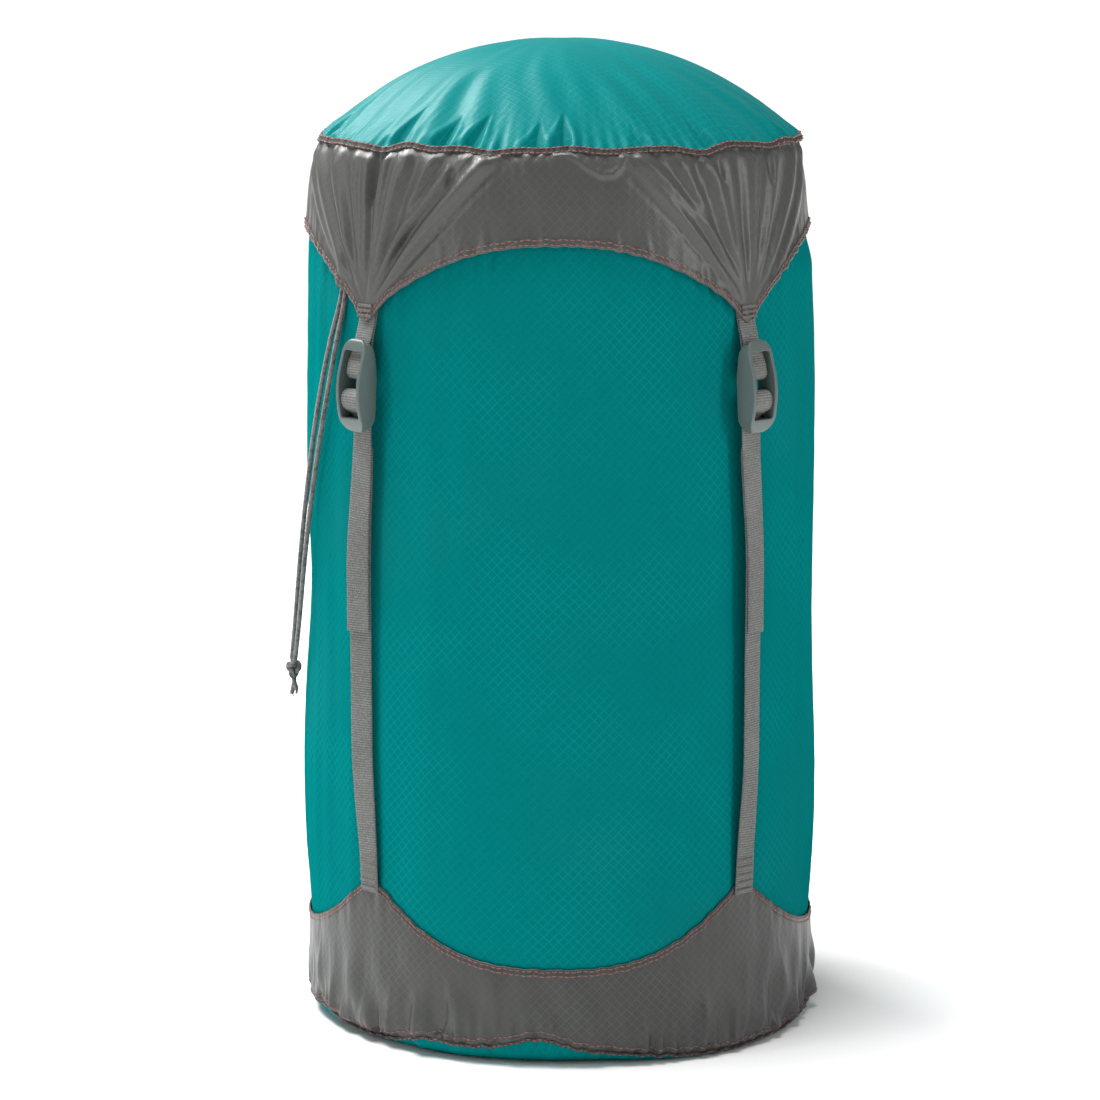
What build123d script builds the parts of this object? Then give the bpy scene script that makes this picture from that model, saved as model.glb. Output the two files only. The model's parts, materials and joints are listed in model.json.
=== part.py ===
from build123d import *
import math
import os

# Compression stuff sack: a round-bottomed ripstop sack whose gathered mouth is covered by a separate
# lid. Four straps run from the points of a bottom yoke up to ladder-lock buckles on the lid's points.
# Millimetres, +Z up. The origin is on the floor, under the middle of the sack; the front is -Y.

# ---- driving dimensions -------------------------------------------------------------------------
FABRIC = 1.2                # modelled thickness of each fabric panel
GAP = 0.3                   # space between neighbouring panels
WEB_WIDTH = 10.0            # strap webbing
WEB = 1.2                   # strap webbing thickness
STRAP_ANGLES = (225, 315, 45, 135)      # front left, front right, back right, back left

# sack: heights and radii of the tube's outer face, and of the gathered collar on top of it
FLOOR_R = 86.5              # radius of the flat that rests on the floor
EDGE_R = 19.5               # rounding between the floor and the sack's side
TUBE_SIDE = [(104.5, 19.5), (104.8, 45), (105.0, 75), (105.2, 150), (105.6, 215), (105.0, 250),
             (104.3, 275), (103.3, 300), (102.2, 316), (100.6, 330), (99.2, 338), (97.5, 345)]
COLLAR = [(97.5, 346.3), (88, 357), (65, 369), (38, 379), (13.2, 382.5)]
SEAM_ANGLE = 38.0           # where the bottom seam sits on the rounding, below the horizontal
SEAM_DEEP, SEAM_WIDE = 0.8, 2.8         # section of the folded seam strips
SEAM_LIFT = 0.65            # from the panels' outer face to the middle of a strip

# bottom yoke
YOKE_LOW = 40.7             # lowest point of each arch between two straps
YOKE_POINT = 68.0           # top of each point
YOKE_POWER = 2.9            # how late each arch turns up towards its points
POINT_HALF = 72.0           # where an arch meets its point, measured across the sack

# lid
LID_TOP = 404.0
LID_SEAM_Z = 366.0
LID_SEAM_R = 102.4
LID_FLARE = 0.0742          # outward growth of the skirt per millimetre down
LID_APEX = 329.0            # top of each arch between two points
LID_POINT = 300.0           # lower end of each point
LID_POWER = 2.4
DOME_POWER = 2.05

# buckle, drawn at +X and then turned to each strap
BUCKLE_TOP, BUCKLE_LOW = 290.2, 253.2
BUCKLE_WIDTH, RAIL = 13.6, 1.6
BAR_X, BAR_Z, BAR_R = 110.3, 277.0, 1.7         # attachment bar, on which the buckle swings
LOCK_X, LOCK_Z = 113.4, 266.6                   # locking bar, with the strap over its front
LOCK_DEEP, LOCK_TALL = 2.4, 4.2
NOSE_LOW, LIP_TOP = 285.6, 259.0                # the buckle's window runs between these heights
SPLIT_Z = 257.5             # height where leg and tail hand over to the wrap in the buckle

# straps
LEG_LOW, LEG_X = 68.3, 107.9
TAIL_LOW, TAIL_X = 172.0, 109.4

# drawcord and cord lock
CORD = 2.0
HEM_RING, HEM_R, HEM_Z = 12.6, 2.4, 383.5
CORD_Z = 387.4              # height at which the strands cross the cord lock
CORD_ANGLE = 215.5          # direction in which the strands leave the mouth
STRAND_SIDE = 1.3           # half the spacing of the two strands
LOCK_R, LOCK_LOW, LOCK_HIGH = 5.5, 382.6, 392.2
STEM_R = 3.4
HEAD_LOW, HEAD_HIGH = 395.2, 398.6
KNOT = (-111.4, -10.8, 143.5)


# ---- helpers ------------------------------------------------------------------------------------
def export(node, shape):
    shape.label = node
    export_step(shape, f"parts/{node}.step")
    print(f"{node:20s} {shape.volume:12.1f} mm3, solids {len(shape.solids())}")


def turned(shape, angle):
    return Rot(0, 0, angle) * shape


def shifted(chain, distance):
    """Moves a chain of (x, z) points sideways, to the right of the way it runs."""
    moved = []
    last = len(chain) - 1
    for i, (x, z) in enumerate(chain):
        x0, z0 = chain[max(i - 1, 0)]
        x1, z1 = chain[min(i + 1, last)]
        run = math.hypot(x1 - x0, z1 - z0)
        moved.append((x + distance * (z1 - z0) / run, z - distance * (x1 - x0) / run))
    return moved


def band(one, other):
    """A face in the XZ plane between two smooth chains of (x, z) points."""
    with BuildSketch(Plane.XZ) as sketch:
        with BuildLine():
            a = Spline(one)
            b = Spline(other)
            Line(a @ 0, b @ 0)
            Line(a @ 1, b @ 1)
        make_face()
    return sketch.sketch


def dense(chain, pitch=12.0):
    """The same chain of (x, z) points, with more points on its long runs."""
    out = [chain[0]]
    for (x0, z0), (x1, z1) in zip(chain, chain[1:]):
        count = max(1, round(math.hypot(x1 - x0, z1 - z0) / pitch))
        out += [(x0 + (x1 - x0) * i / count, z0 + (z1 - z0) * i / count) for i in range(1, count + 1)]
    return out


def skin(outer, thickness=FABRIC):
    """A panel turned round the sack's axis, from its outer face's (x, z) chain, which runs upwards."""
    return revolve(band(outer, shifted(outer, -thickness)), Axis.Z)


def webbing(chain, thickness=WEB, width=WEB_WIDTH):
    """A strap whose middle follows a chain of (x, z) points, in the plane of its thickness."""
    with BuildLine(Plane.XZ) as middle:
        Spline(chain)
    edge = middle.line
    count = 3 * len(chain)
    samples = [edge @ (i / count) for i in range(count + 1)]
    run = [(p.X, p.Z) for p in samples]
    face = band(shifted(run, thickness / 2), shifted(run, -thickness / 2))
    return extrude(face, amount=width / 2, both=True)


def arc(cx, cz, radius, start, stop, steps=8):
    """(x, z) points on an arc; degrees from +X towards +Z."""
    turn = [math.radians(start + (stop - start) * i / steps) for i in range(steps + 1)]
    return [(cx + radius * math.cos(a), cz + radius * math.sin(a)) for a in turn]


def rounding(depth, start, stop):
    """(x, z) points on the sack's bottom rounding, at a depth below its outer face."""
    return arc(FLOOR_R, EDGE_R, EDGE_R - depth, start, stop)


def arches(apex, point, power, base):
    """Four prisms with the outline of the arches, reaching from the arch's edge to the height base."""
    steps = 12
    edge = [(POINT_HALF * i / steps, apex + (point - apex) * abs(i / steps) ** power)
            for i in range(-steps, steps + 1)]
    with BuildSketch(Plane.XZ.offset(60)) as sketch:
        with BuildLine():
            rim = Spline(edge)
            Polyline(rim @ 0, (-POINT_HALF, base), (POINT_HALF, base), rim @ 1)
        make_face()
    prism = extrude(sketch.sketch, amount=60)
    return [turned(prism, 90 * k) for k in range(4)]


def polar(radius, angle, z, side=0.0):
    """A point at a radius and an angle, moved sideways by side."""
    a = math.radians(angle)
    return (radius * math.cos(a) - side * math.sin(a), radius * math.sin(a) + side * math.cos(a), z)


def pillar(foot, radius, height):
    return Pos(*foot) * Cylinder(radius, height, align=(Align.CENTER, Align.CENTER, Align.MIN))


def lid_radius(z):
    """Outer radius of the lid's skirt."""
    return LID_SEAM_R + (LID_SEAM_Z - z) * LID_FLARE


os.makedirs("parts", exist_ok=True)

# ---- sack: bottom disc, bottom yoke, tube, seam and contents ------------------------------------
disc_out = rounding(0, -90, -SEAM_ANGLE - 2)
disc_in = rounding(FABRIC, -90, -SEAM_ANGLE - 2)
with BuildSketch(Plane.XZ) as disc_sketch:
    with BuildLine():
        ThreePointArc(disc_out[0], disc_out[4], disc_out[8])
        ThreePointArc(disc_in[0], disc_in[4], disc_in[8])
        Line(disc_out[8], disc_in[8])
        Polyline(disc_out[0], (0, 0), (0, FABRIC), disc_in[0])
    make_face()
bottom_disc = revolve(disc_sketch.sketch, Axis.Z)

bottom_yoke = skin(rounding(0, -SEAM_ANGLE + 2, 0) + [(106.25, 45.0), (106.5, 68.0)])
for prism in arches(YOKE_LOW, YOKE_POINT, YOKE_POWER, 90):
    bottom_yoke = bottom_yoke - prism

tube_side = dense(TUBE_SIDE)
body_tube = skin(arc(FLOOR_R, EDGE_R, EDGE_R - FABRIC - GAP, -SEAM_ANGLE + 2, -7, 4) + tube_side)

# the seam allowance is a narrow folded strip that lies on the outside, over the joint of disc and yoke
strip_x, strip_z = rounding(-SEAM_LIFT, -SEAM_ANGLE, 0)[0]
bottom_strip = Pos(strip_x, strip_z) * Rot(0, 0, -SEAM_ANGLE) * RectangleRounded(SEAM_DEEP, SEAM_WIDE, 0.35)
bottom_seam = revolve(Plane.XZ * bottom_strip, Axis.Z)

load_depth = 2 * (FABRIC + GAP)
load_side = rounding(load_depth, -90, -10) + [(r - FABRIC - GAP, z) for r, z in tube_side]
load_cap = [(r - 1.0, z - FABRIC - 0.6) for r, z in dense(COLLAR)[1:]]
with BuildSketch(Plane.XZ) as load_sketch:
    with BuildLine():
        side = Spline(load_side)
        cap = Spline([side @ 1] + load_cap)
        Polyline(cap @ 1, (0, load_cap[-1][1]), (0, load_depth), side @ 0)
    make_face()
stuffed_load = revolve(load_sketch.sketch, Axis.Z)

for node, shape in (("bottom_disc", bottom_disc), ("bottom_yoke", bottom_yoke), ("body_tube", body_tube),
                    ("bottom_seam", bottom_seam), ("stuffed_load", stuffed_load)):
    export(node, shape)

# ---- mouth: gathered collar, drawcord hem, loop and cord lock -----------------------------------
hem_solid = Pos(0, 0, HEM_Z) * Torus(HEM_RING, HEM_R)
hem_section = Plane.XZ * Pos(HEM_RING, HEM_Z) * (Circle(HEM_R) - Circle(CORD / 2 + 0.35))
half_hem = revolve(hem_section, Axis.Z, revolution_arc=180)
outlets = [pillar(polar(-HEM_RING, CORD_ANGLE, HEM_Z, side), 1.25, 5) for side in (-STRAND_SIDE, STRAND_SIDE)]
drawcord_loop = Pos(0, 0, HEM_Z) * Torus(HEM_RING, CORD / 2)
for side in (-STRAND_SIDE, STRAND_SIDE):
    foot = polar(-HEM_RING, CORD_ANGLE, HEM_Z, side)
    drawcord_loop = drawcord_loop + pillar(foot, CORD / 2, CORD_Z + 1 - HEM_Z)
drawcord_hem = Part() + [(half - outlets[0]) - outlets[1] for half in (half_hem, turned(half_hem, 180))]
collar_out = dense(COLLAR)
mouth_collar = revolve(band(collar_out, shifted(collar_out, -FABRIC)), Axis.Z) - hem_solid

lock = pillar((0, 0, LOCK_LOW), LOCK_R, LOCK_HIGH - LOCK_LOW)
lock = fillet(lock.edges().filter_by(GeomType.CIRCLE), 0.8)
lock_tunnel = Pos(0, 0, CORD_Z - 0.5) * turned(Box(20, 5.4, 3.6), CORD_ANGLE)
cord_lock_barrel = lock - pillar((0, 0, LOCK_LOW + 1.2), STEM_R + 0.15, 20) - lock_tunnel

stem_low = CORD_Z - 1.4
stem = pillar((0, 0, stem_low), STEM_R, HEAD_LOW - stem_low + 0.5)
head = pillar((0, 0, HEAD_LOW), LOCK_R, HEAD_HIGH - HEAD_LOW)
head = fillet(head.edges().filter_by(GeomType.CIRCLE), 1.0)
stem_slot = Pos(0, 0, CORD_Z + 1.5) * turned(Box(20, 5.4, 5.4), CORD_ANGLE)
cord_lock_plunger = stem + head - stem_slot

coil = Helix(pitch=0.5, height=1.0, radius=2.2)
coil_end = Plane(origin=coil @ 0, z_dir=coil % 0)
cord_lock_spring = Pos(0, 0, LOCK_LOW + 1.5) * sweep(coil_end * Circle(0.15), path=coil)

for node, shape in (("mouth_collar", mouth_collar), ("drawcord_hem", drawcord_hem),
                    ("drawcord_loop", drawcord_loop), ("cord_lock_barrel", cord_lock_barrel),
                    ("cord_lock_plunger", cord_lock_plunger), ("cord_lock_spring", cord_lock_spring)):
    export(node, shape)

# ---- drawcord strands: across the lock, over the collar, under the lid's edge, down the side ----
HIDDEN = [(-HEM_RING + 0.8, CORD_Z), (16, CORD_Z), (42, 381.4), (67, 371.2), (91.5, 360.0), (101.0, 343.0),
          (103.0, 322.0), (104.4, 305.5)]
HANGING = {
    "drawcord_strand_1": (-STRAND_SIDE, [(-91.0, -57.0, 288), (-97.6, -46.0, 258), (-103.3, -33.5, 222),
                                         (-107.6, -21.5, 190), (-110.4, -12.5, 163), (-112.2, -9.4, 148.2)]),
    "drawcord_strand_2": (STRAND_SIDE, [(-88.5, -61.0, 286), (-95.0, -51.0, 254), (-100.8, -41.0, 220),
                                        (-105.0, -31.5, 190), (-108.2, -20.5, 163), (-110.6, -12.4, 148.2)]),
}
for node, (side, hanging) in HANGING.items():
    points = [Vector(*polar(r, CORD_ANGLE, z, side)) for r, z in HIDDEN] + [Vector(*p) for p in hanging]
    runs = [(b - a).length for a, b in zip(points, points[1:])]
    radii = []
    for a, b, c in zip(points, points[1:], points[2:]):
        half_turn = math.radians((b - a).get_angle(c - b)) / 2
        radii.append(0.45 * min((b - a).length, (c - b).length) / math.tan(half_turn))
    route = FilletPolyline(*points, radius=radii)
    section = Plane(origin=route @ 0, z_dir=route % 0) * Circle(CORD / 2)
    strand = sweep(section, path=route)
    length = route.length
    print(node, f"length {length:.1f}, smallest radius {min(radii):.1f}, longest run {max(runs):.1f}",
          f"volume ratio {strand.volume / (length * math.pi * (CORD / 2) ** 2):.3f}")
    export(node, strand)

knot_half = Plane.XZ * (Ellipse(4.0, 5.5) & Pos(5, 0) * Rectangle(10, 12))
knot = revolve(knot_half, Axis.Z)
for lean in (-14, 12):
    knot = knot + Rot(0, lean, 0) * Pos(0, 0, -6.5) * Cylinder(CORD / 2, 7)
knot = Pos(*KNOT) * knot
export("drawcord_knot", knot)

# ---- lid: dome, seam, skirt with four points ----------------------------------------------------
dome_out = [(LID_SEAM_R * i / 10, LID_TOP - (LID_TOP - LID_SEAM_Z - 0.6) * (i / 10) ** DOME_POWER)
            for i in range(11)]
dome_in = [(x, z - FABRIC) for x, z in dome_out[:-1]] + [(LID_SEAM_R - FABRIC, LID_SEAM_Z - 0.2)]
lid_dome = revolve(band(dome_out, dome_in), Axis.Z)

skirt = [(lid_radius(z), z) for z in (LID_POINT, 322.0, 344.0, LID_SEAM_Z - 0.9)]
lid_yoke = skin(skirt)
for prism in arches(LID_APEX, LID_POINT, LID_POWER, LID_POINT - 20):
    lid_yoke = lid_yoke - prism
lid_strip = Pos(LID_SEAM_R + SEAM_LIFT + 0.1, LID_SEAM_Z - 0.2) * RectangleRounded(SEAM_DEEP, SEAM_WIDE, 0.35)
lid_seam = revolve(Plane.XZ * lid_strip, Axis.Z)

export("lid_dome", lid_dome)
export("lid_yoke", lid_yoke)
export("lid_seam", lid_seam)

# ---- buckle: a one-piece ladder lock with two leaf-shaped rails ---------------------------------
with BuildSketch(Plane.XZ) as leaf_sketch:
    with BuildLine():
        Spline((109.5, 289.3), (111.2, BUCKLE_TOP), (113.6, 285.2), (116.0, 277.0), (116.9, 268.5),
               (116.1, 260.8), (114.2, 255.6), (111.8, BUCKLE_LOW), (109.3, 255.4), (107.7, 262.0),
               (107.2, 274.0), (107.9, 284.0), (109.5, 289.3))
    make_face()
leaf = extrude(leaf_sketch.sketch, amount=BUCKLE_WIDTH / 2, both=True)
mid_z = (BUCKLE_TOP + BUCKLE_LOW) / 2
tall = BUCKLE_TOP - BUCKLE_LOW + 0.6
with BuildSketch(Plane.YZ.offset(BAR_X - 12)) as front_sketch:
    with Locations((0, mid_z)):
        RectangleRounded(BUCKLE_WIDTH, tall, 6.0)
plan = extrude(front_sketch.sketch, amount=24)
inner = BUCKLE_WIDTH - 2 * RAIL
window = Pos(BAR_X, 0, (NOSE_LOW + LIP_TOP) / 2) * Box(20, inner, NOSE_LOW - LIP_TOP)
nose_back = Pos(BAR_X + 0.7 - 10, 0, NOSE_LOW + 5) * Box(20, inner, 10)
lip_back = Pos(BAR_X + 0.2 - 10, 0, LIP_TOP - 5) * Box(20, inner, 10)
frame = (leaf & plan) - window - nose_back - lip_back
frame = frame + Pos(BAR_X, 0, BAR_Z) * Rot(90, 0, 0) * Cylinder(BAR_R, inner + RAIL)
lock_bar = Pos(LOCK_X, 0, LOCK_Z) * Box(LOCK_DEEP, inner + RAIL, LOCK_TALL)
lock_bar = fillet(lock_bar.edges().filter_by(Axis.Y), 0.9)
frame = frame + lock_bar

# strap through the buckle: up behind the locking bar, over its front, down behind the lip
wrap_x = LOCK_X + LOCK_DEEP / 2 + 0.3 + WEB / 2
top_z = LOCK_Z + LOCK_TALL / 2
wrap_up = [(LEG_X, SPLIT_Z + 0.3), (LEG_X, 262.0), (108.4, 265.2), (109.4, 267.7), (110.9, top_z + 0.55),
           (112.6, top_z + 1.15), (114.2, top_z + 0.6), (115.25, top_z - 0.7)]
wrap_down = [(wrap_x, LOCK_Z), (115.35, LOCK_Z - 1.6), (114.7, LOCK_Z - 3.1), (113.6, LOCK_Z - 4.1),
             (112.2, LOCK_Z - 5.0), (110.9, LOCK_Z - 5.8), (109.9, LOCK_Z - 6.8), (TAIL_X, LOCK_Z - 8.0),
             (TAIL_X, SPLIT_Z + 0.3)]
wrap_chain = wrap_up + wrap_down
strap_wrap = webbing(wrap_chain)

# strap below the buckle: the leg down to the bottom yoke, and the loose tail over it
leg_chain = [(106.0, LEG_LOW), (106.1, 80), (106.9, 110), (107.6, 150), (LEG_X, 190), (LEG_X, 230),
             (LEG_X, SPLIT_Z - 0.3)]
strap_leg = webbing(leg_chain)
tail_chain = [(TAIL_X, TAIL_LOW), (TAIL_X, 200), (TAIL_X, 230), (TAIL_X, SPLIT_Z - 0.3)]
strap_tail = webbing(tail_chain)

# tab: a loop of webbing round the attachment bar, its two plies sewn behind the lid's point
loop_r = BAR_R + 0.3 + WEB / 2
tab_inner = [(103.0, 318), (103.6, 309), (104.2, 301), (105.6, 290), (107.1, 281.5)]
tab_outer = [(112.0, 280.9), (110.4, 284.3), (108.8, 288.5), (107.1, 293.5), (105.95, 297.5), (105.33, 301),
             (104.63, 309), (103.98, 318)]
lid_tab = webbing(tab_inner + arc(BAR_X, BAR_Z, loop_r, 172, 378, 10) + tab_outer, thickness=0.9)

leg_tack = Pos(107.03, 0, 72.5) * Box(0.6, WEB_WIDTH - 1, 14)
tack_x = lid_radius(304) + 0.35
tab_tack = Pos(tack_x, 0, 304) * Rot(0, -4.2, 0) * Box(0.5, WEB_WIDTH - 2.5, 5)

leg_tacks = Compound(children=[turned(leg_tack, angle) for angle in STRAP_ANGLES])
tab_tacks = Compound(children=[turned(tab_tack, angle) for angle in STRAP_ANGLES])
export("leg_bar_tacks", leg_tacks)
export("tab_bar_tacks", tab_tacks)
for number, angle in enumerate(STRAP_ANGLES, 1):
    export(f"strap_leg_{number}", turned(strap_leg, angle))
    export(f"strap_tail_{number}", turned(strap_tail, angle))
    export(f"lid_tab_{number}", turned(lid_tab, angle))
    export(f"buckle_frame_{number}", turned(frame, angle))
    export(f"strap_wrap_{number}", turned(strap_wrap, angle))
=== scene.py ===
import json
import math

import bpy
import numpy as np
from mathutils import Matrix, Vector


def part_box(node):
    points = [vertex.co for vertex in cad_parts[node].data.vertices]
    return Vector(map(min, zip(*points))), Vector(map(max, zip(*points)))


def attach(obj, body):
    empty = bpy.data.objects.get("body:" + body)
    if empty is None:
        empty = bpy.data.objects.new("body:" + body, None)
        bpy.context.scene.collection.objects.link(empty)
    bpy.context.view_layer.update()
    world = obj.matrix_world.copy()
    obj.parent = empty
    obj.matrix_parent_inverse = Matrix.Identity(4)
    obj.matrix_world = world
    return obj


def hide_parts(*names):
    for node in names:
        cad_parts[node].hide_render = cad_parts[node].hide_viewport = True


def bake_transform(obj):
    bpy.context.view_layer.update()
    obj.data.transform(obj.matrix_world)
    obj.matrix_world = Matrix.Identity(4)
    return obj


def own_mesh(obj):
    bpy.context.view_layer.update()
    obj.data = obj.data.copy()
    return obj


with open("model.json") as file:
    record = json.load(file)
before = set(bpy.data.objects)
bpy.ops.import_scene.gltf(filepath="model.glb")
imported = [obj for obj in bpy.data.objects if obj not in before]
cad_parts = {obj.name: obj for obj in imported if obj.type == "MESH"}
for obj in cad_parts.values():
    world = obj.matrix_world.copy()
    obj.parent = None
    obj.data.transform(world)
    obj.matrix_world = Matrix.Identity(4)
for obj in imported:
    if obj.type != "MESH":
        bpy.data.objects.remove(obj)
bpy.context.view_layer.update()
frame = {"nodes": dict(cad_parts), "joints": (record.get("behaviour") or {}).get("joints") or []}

MM = 0.001
TAU = 2.0 * math.pi

# ---- places read from the frame, in millimetres ----
def node_box(node):
    low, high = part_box(node)
    return [v / MM for v in low], [v / MM for v in high]


TUBE_TOP = node_box("body_tube")[1][2]
DOME_TOP = node_box("lid_dome")[1][2]
SEAM_Z = (node_box("lid_seam")[0][2] + node_box("lid_seam")[1][2]) / 2
LID_POINT = node_box("lid_yoke")[0][2]
YOKE_POINT = node_box("bottom_yoke")[1][2]
LEG_LOW, LEG_HIGH = (node_box("strap_leg_1")[k][2] for k in (0, 1))
TAIL_LOW, TAIL_HIGH = (node_box("strap_tail_1")[k][2] for k in (0, 1))
HINGES = {j["name"]: j for j in frame["joints"]}
BAR = HINGES["buckle_1_tilt"]["pos_m"]
BAR_R = math.hypot(BAR[0], BAR[1]) / MM
BAR_Z = BAR[2] / MM

STRAP_ANGLES = {1: 225.0, 2: 315.0, 3: 45.0, 4: 135.0}

# ---- camera ----
CAMERA_AZIMUTH = 1.0        # degrees round from the front, towards +X
CAMERA_DISTANCE = 1.56
CAMERA_HEIGHT = 0.4623
LOOK_AT = Vector((-0.0042, 0.0, 0.1923))
LENS = 123.6

camera_data = bpy.data.cameras.new("camera")
camera_data.lens = LENS
camera_data.sensor_width = 36.0
camera = bpy.data.objects.new("camera", camera_data)
turn = math.radians(CAMERA_AZIMUTH)
camera.location = (CAMERA_DISTANCE * math.sin(turn), -CAMERA_DISTANCE * math.cos(turn), CAMERA_HEIGHT)
camera.rotation_euler = (LOOK_AT - camera.location).to_track_quat("-Z", "Y").to_euler()
bpy.context.scene.collection.objects.link(camera)
bpy.context.scene.camera = camera

# ---- small tools ----
def smooth_profile(pairs, width):
    """A smooth function through (position, value) pairs, by averaging straight runs over width."""
    x, y = np.array(pairs, float).T
    step = width / 12.0
    grid = np.arange(x[0] - 2 * width, x[-1] + 2 * width, step)
    line = np.interp(grid, x, y)
    line = np.where(grid < x[0], y[0] + (grid - x[0]) * (y[1] - y[0]) / (x[1] - x[0]), line)
    line = np.where(grid > x[-1], y[-1] + (grid - x[-1]) * (y[-1] - y[-2]) / (x[-1] - x[-2]), line)
    window = np.hanning(15)[1:-1]
    window /= window.sum()
    line = np.convolve(line, window, "same")
    keep = slice(8, -8)
    return lambda at: np.interp(at, grid[keep], line[keep])


def waves(seed, count, around, along):
    """Random smooth waves that close round the sack, about 1 high. around is the least and the most waves
    in a turn, and along the least and the most in a metre of height."""
    rng = np.random.default_rng(seed)
    turns = rng.integers(around[0], around[1] + 1, count)
    slope = rng.uniform(along[0], along[1], count) * rng.choice((-1, 1), count) * TAU * MM
    phase = rng.uniform(0, TAU, count)
    size = rng.uniform(0.5, 1.0, count)
    size /= np.sqrt((size ** 2).sum() / 2) * 1.6

    def value(phi, z):
        out = np.zeros(np.broadcast(phi, z).shape)
        for n, k, p, a in zip(turns, slope, phase, size):
            out += a * np.cos(n * phi + k * z + p)
        return out

    return value


def bell(x):
    return np.exp(-np.square(x))


def step01(x):
    t = np.clip(x, 0.0, 1.0)
    return t * t * (3 - 2 * t)


def from_strap(phi):
    """Angle to the nearest strap, in radians, from -45 to 45 degrees."""
    quarter = TAU / 4
    return np.mod(phi, quarter) - quarter / 2


def nearest_strap(phi):
    """Number of the nearest strap: 1 front left, 2 front right, 3 back right, 4 back left."""
    quadrant = np.floor(np.mod(phi, TAU) / (TAU / 4)).astype(int)
    return np.array([3, 4, 1, 2])[quadrant]


def unit(v):
    return v / np.maximum(np.linalg.norm(v, axis=-1, keepdims=True), 1e-12)


def mesh_object(name, points, faces, uvs=None):
    """points in millimetres; faces as rows of indices; uvs for each face corner, in millimetres."""
    mesh = bpy.data.meshes.new(name)
    faces = [np.asarray(f) for f in faces]
    sizes = np.concatenate([np.full(len(f), f.shape[1]) for f in faces])
    corners = np.concatenate([f.ravel() for f in faces])
    mesh.vertices.add(len(points))
    mesh.vertices.foreach_set("co", (np.asarray(points, float) * MM).ravel())
    mesh.loops.add(len(corners))
    mesh.loops.foreach_set("vertex_index", corners.astype(np.int32))
    mesh.polygons.add(len(sizes))
    starts = np.concatenate([[0], np.cumsum(sizes)[:-1]])
    mesh.polygons.foreach_set("loop_start", starts.astype(np.int32))
    mesh.polygons.foreach_set("loop_total", sizes.astype(np.int32))
    mesh.polygons.foreach_set("use_smooth", np.full(len(sizes), True))
    mesh.update(calc_edges=True)
    if uvs is not None:
        layer = mesh.uv_layers.new(name="weave")
        layer.data.foreach_set("uv", np.asarray(uvs, float).ravel())
    mesh.validate()
    obj = bpy.data.objects.new(name, mesh)
    bpy.context.scene.collection.objects.link(obj)
    return obj


def grid_faces(rows, cols, flip=False):
    """Quads over rings of points, and for each corner its row and (unwrapped) column."""
    r, c = np.meshgrid(np.arange(rows - 1), np.arange(cols), indexing="ij")
    r, c = r.ravel(), c.ravel()
    corner_r = np.stack([r, r, r + 1, r + 1], -1)
    corner_c = np.stack([c, c + 1, c + 1, c], -1)
    if flip:
        corner_r, corner_c = corner_r[:, ::-1], corner_c[:, ::-1]
    return corner_r * cols + corner_c % cols, corner_r, corner_c


def ring_object(name, points, uv):
    """A surface over rings of points, rows x cols; uv is rows x (cols + 1) x 2."""
    rows, cols = points.shape[:2]
    faces, r, c = grid_faces(rows, cols)
    return mesh_object(name, points.reshape(-1, 3), [faces], uv[r, c].reshape(-1, 2))


def disc_object(name, points, uv, flip=False):
    """A surface of rings, from the rim inwards, closed by a fan round the middle."""
    rows, cols = points.shape[:2]
    faces, r, c = grid_faces(rows, cols, flip)
    middle = points[-1].mean(0)
    last = (rows - 1) * cols
    around = np.arange(cols)
    fan = np.stack([last + around, last + (around + 1) % cols, np.full(cols, rows * cols)], -1)
    if flip:
        fan = fan[:, ::-1]
    flat = np.concatenate([uv.reshape(-1, 2), uv[-1].mean(0)[None]])
    return mesh_object(name, np.concatenate([points.reshape(-1, 3), middle[None]]), [faces, fan],
                       np.concatenate([flat[faces.ravel()], flat[fan.ravel()]]))


def add_modifier(obj, kind, **settings):
    modifier = obj.modifiers.new(kind.lower(), kind)
    for key, value in settings.items():
        setattr(modifier, key, value)
    return modifier


def apply_modifiers(obj):
    graph = bpy.context.evaluated_depsgraph_get()
    mesh = bpy.data.meshes.new_from_object(obj.evaluated_get(graph))
    obj.modifiers.clear()
    obj.data = mesh
    return obj


def give_thickness(obj, thickness):
    """Turns a one-sided cloth surface into a thin closed one, thickened inwards."""
    add_modifier(obj, "SOLIDIFY", thickness=thickness * MM, offset=-1.0)
    return apply_modifiers(obj)


def join(name, objects):
    """One object made of several."""
    bpy.ops.object.select_all(action="DESELECT")
    for o in objects:
        o.select_set(True)
    bpy.context.view_layer.objects.active = objects[0]
    if len(objects) > 1:
        bpy.ops.object.join()
    objects[0].name = name
    objects[0].data.name = name
    return objects[0]


def paint(obj, material):
    obj.data.materials.clear()
    obj.data.materials.append(material)
    return obj


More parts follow.
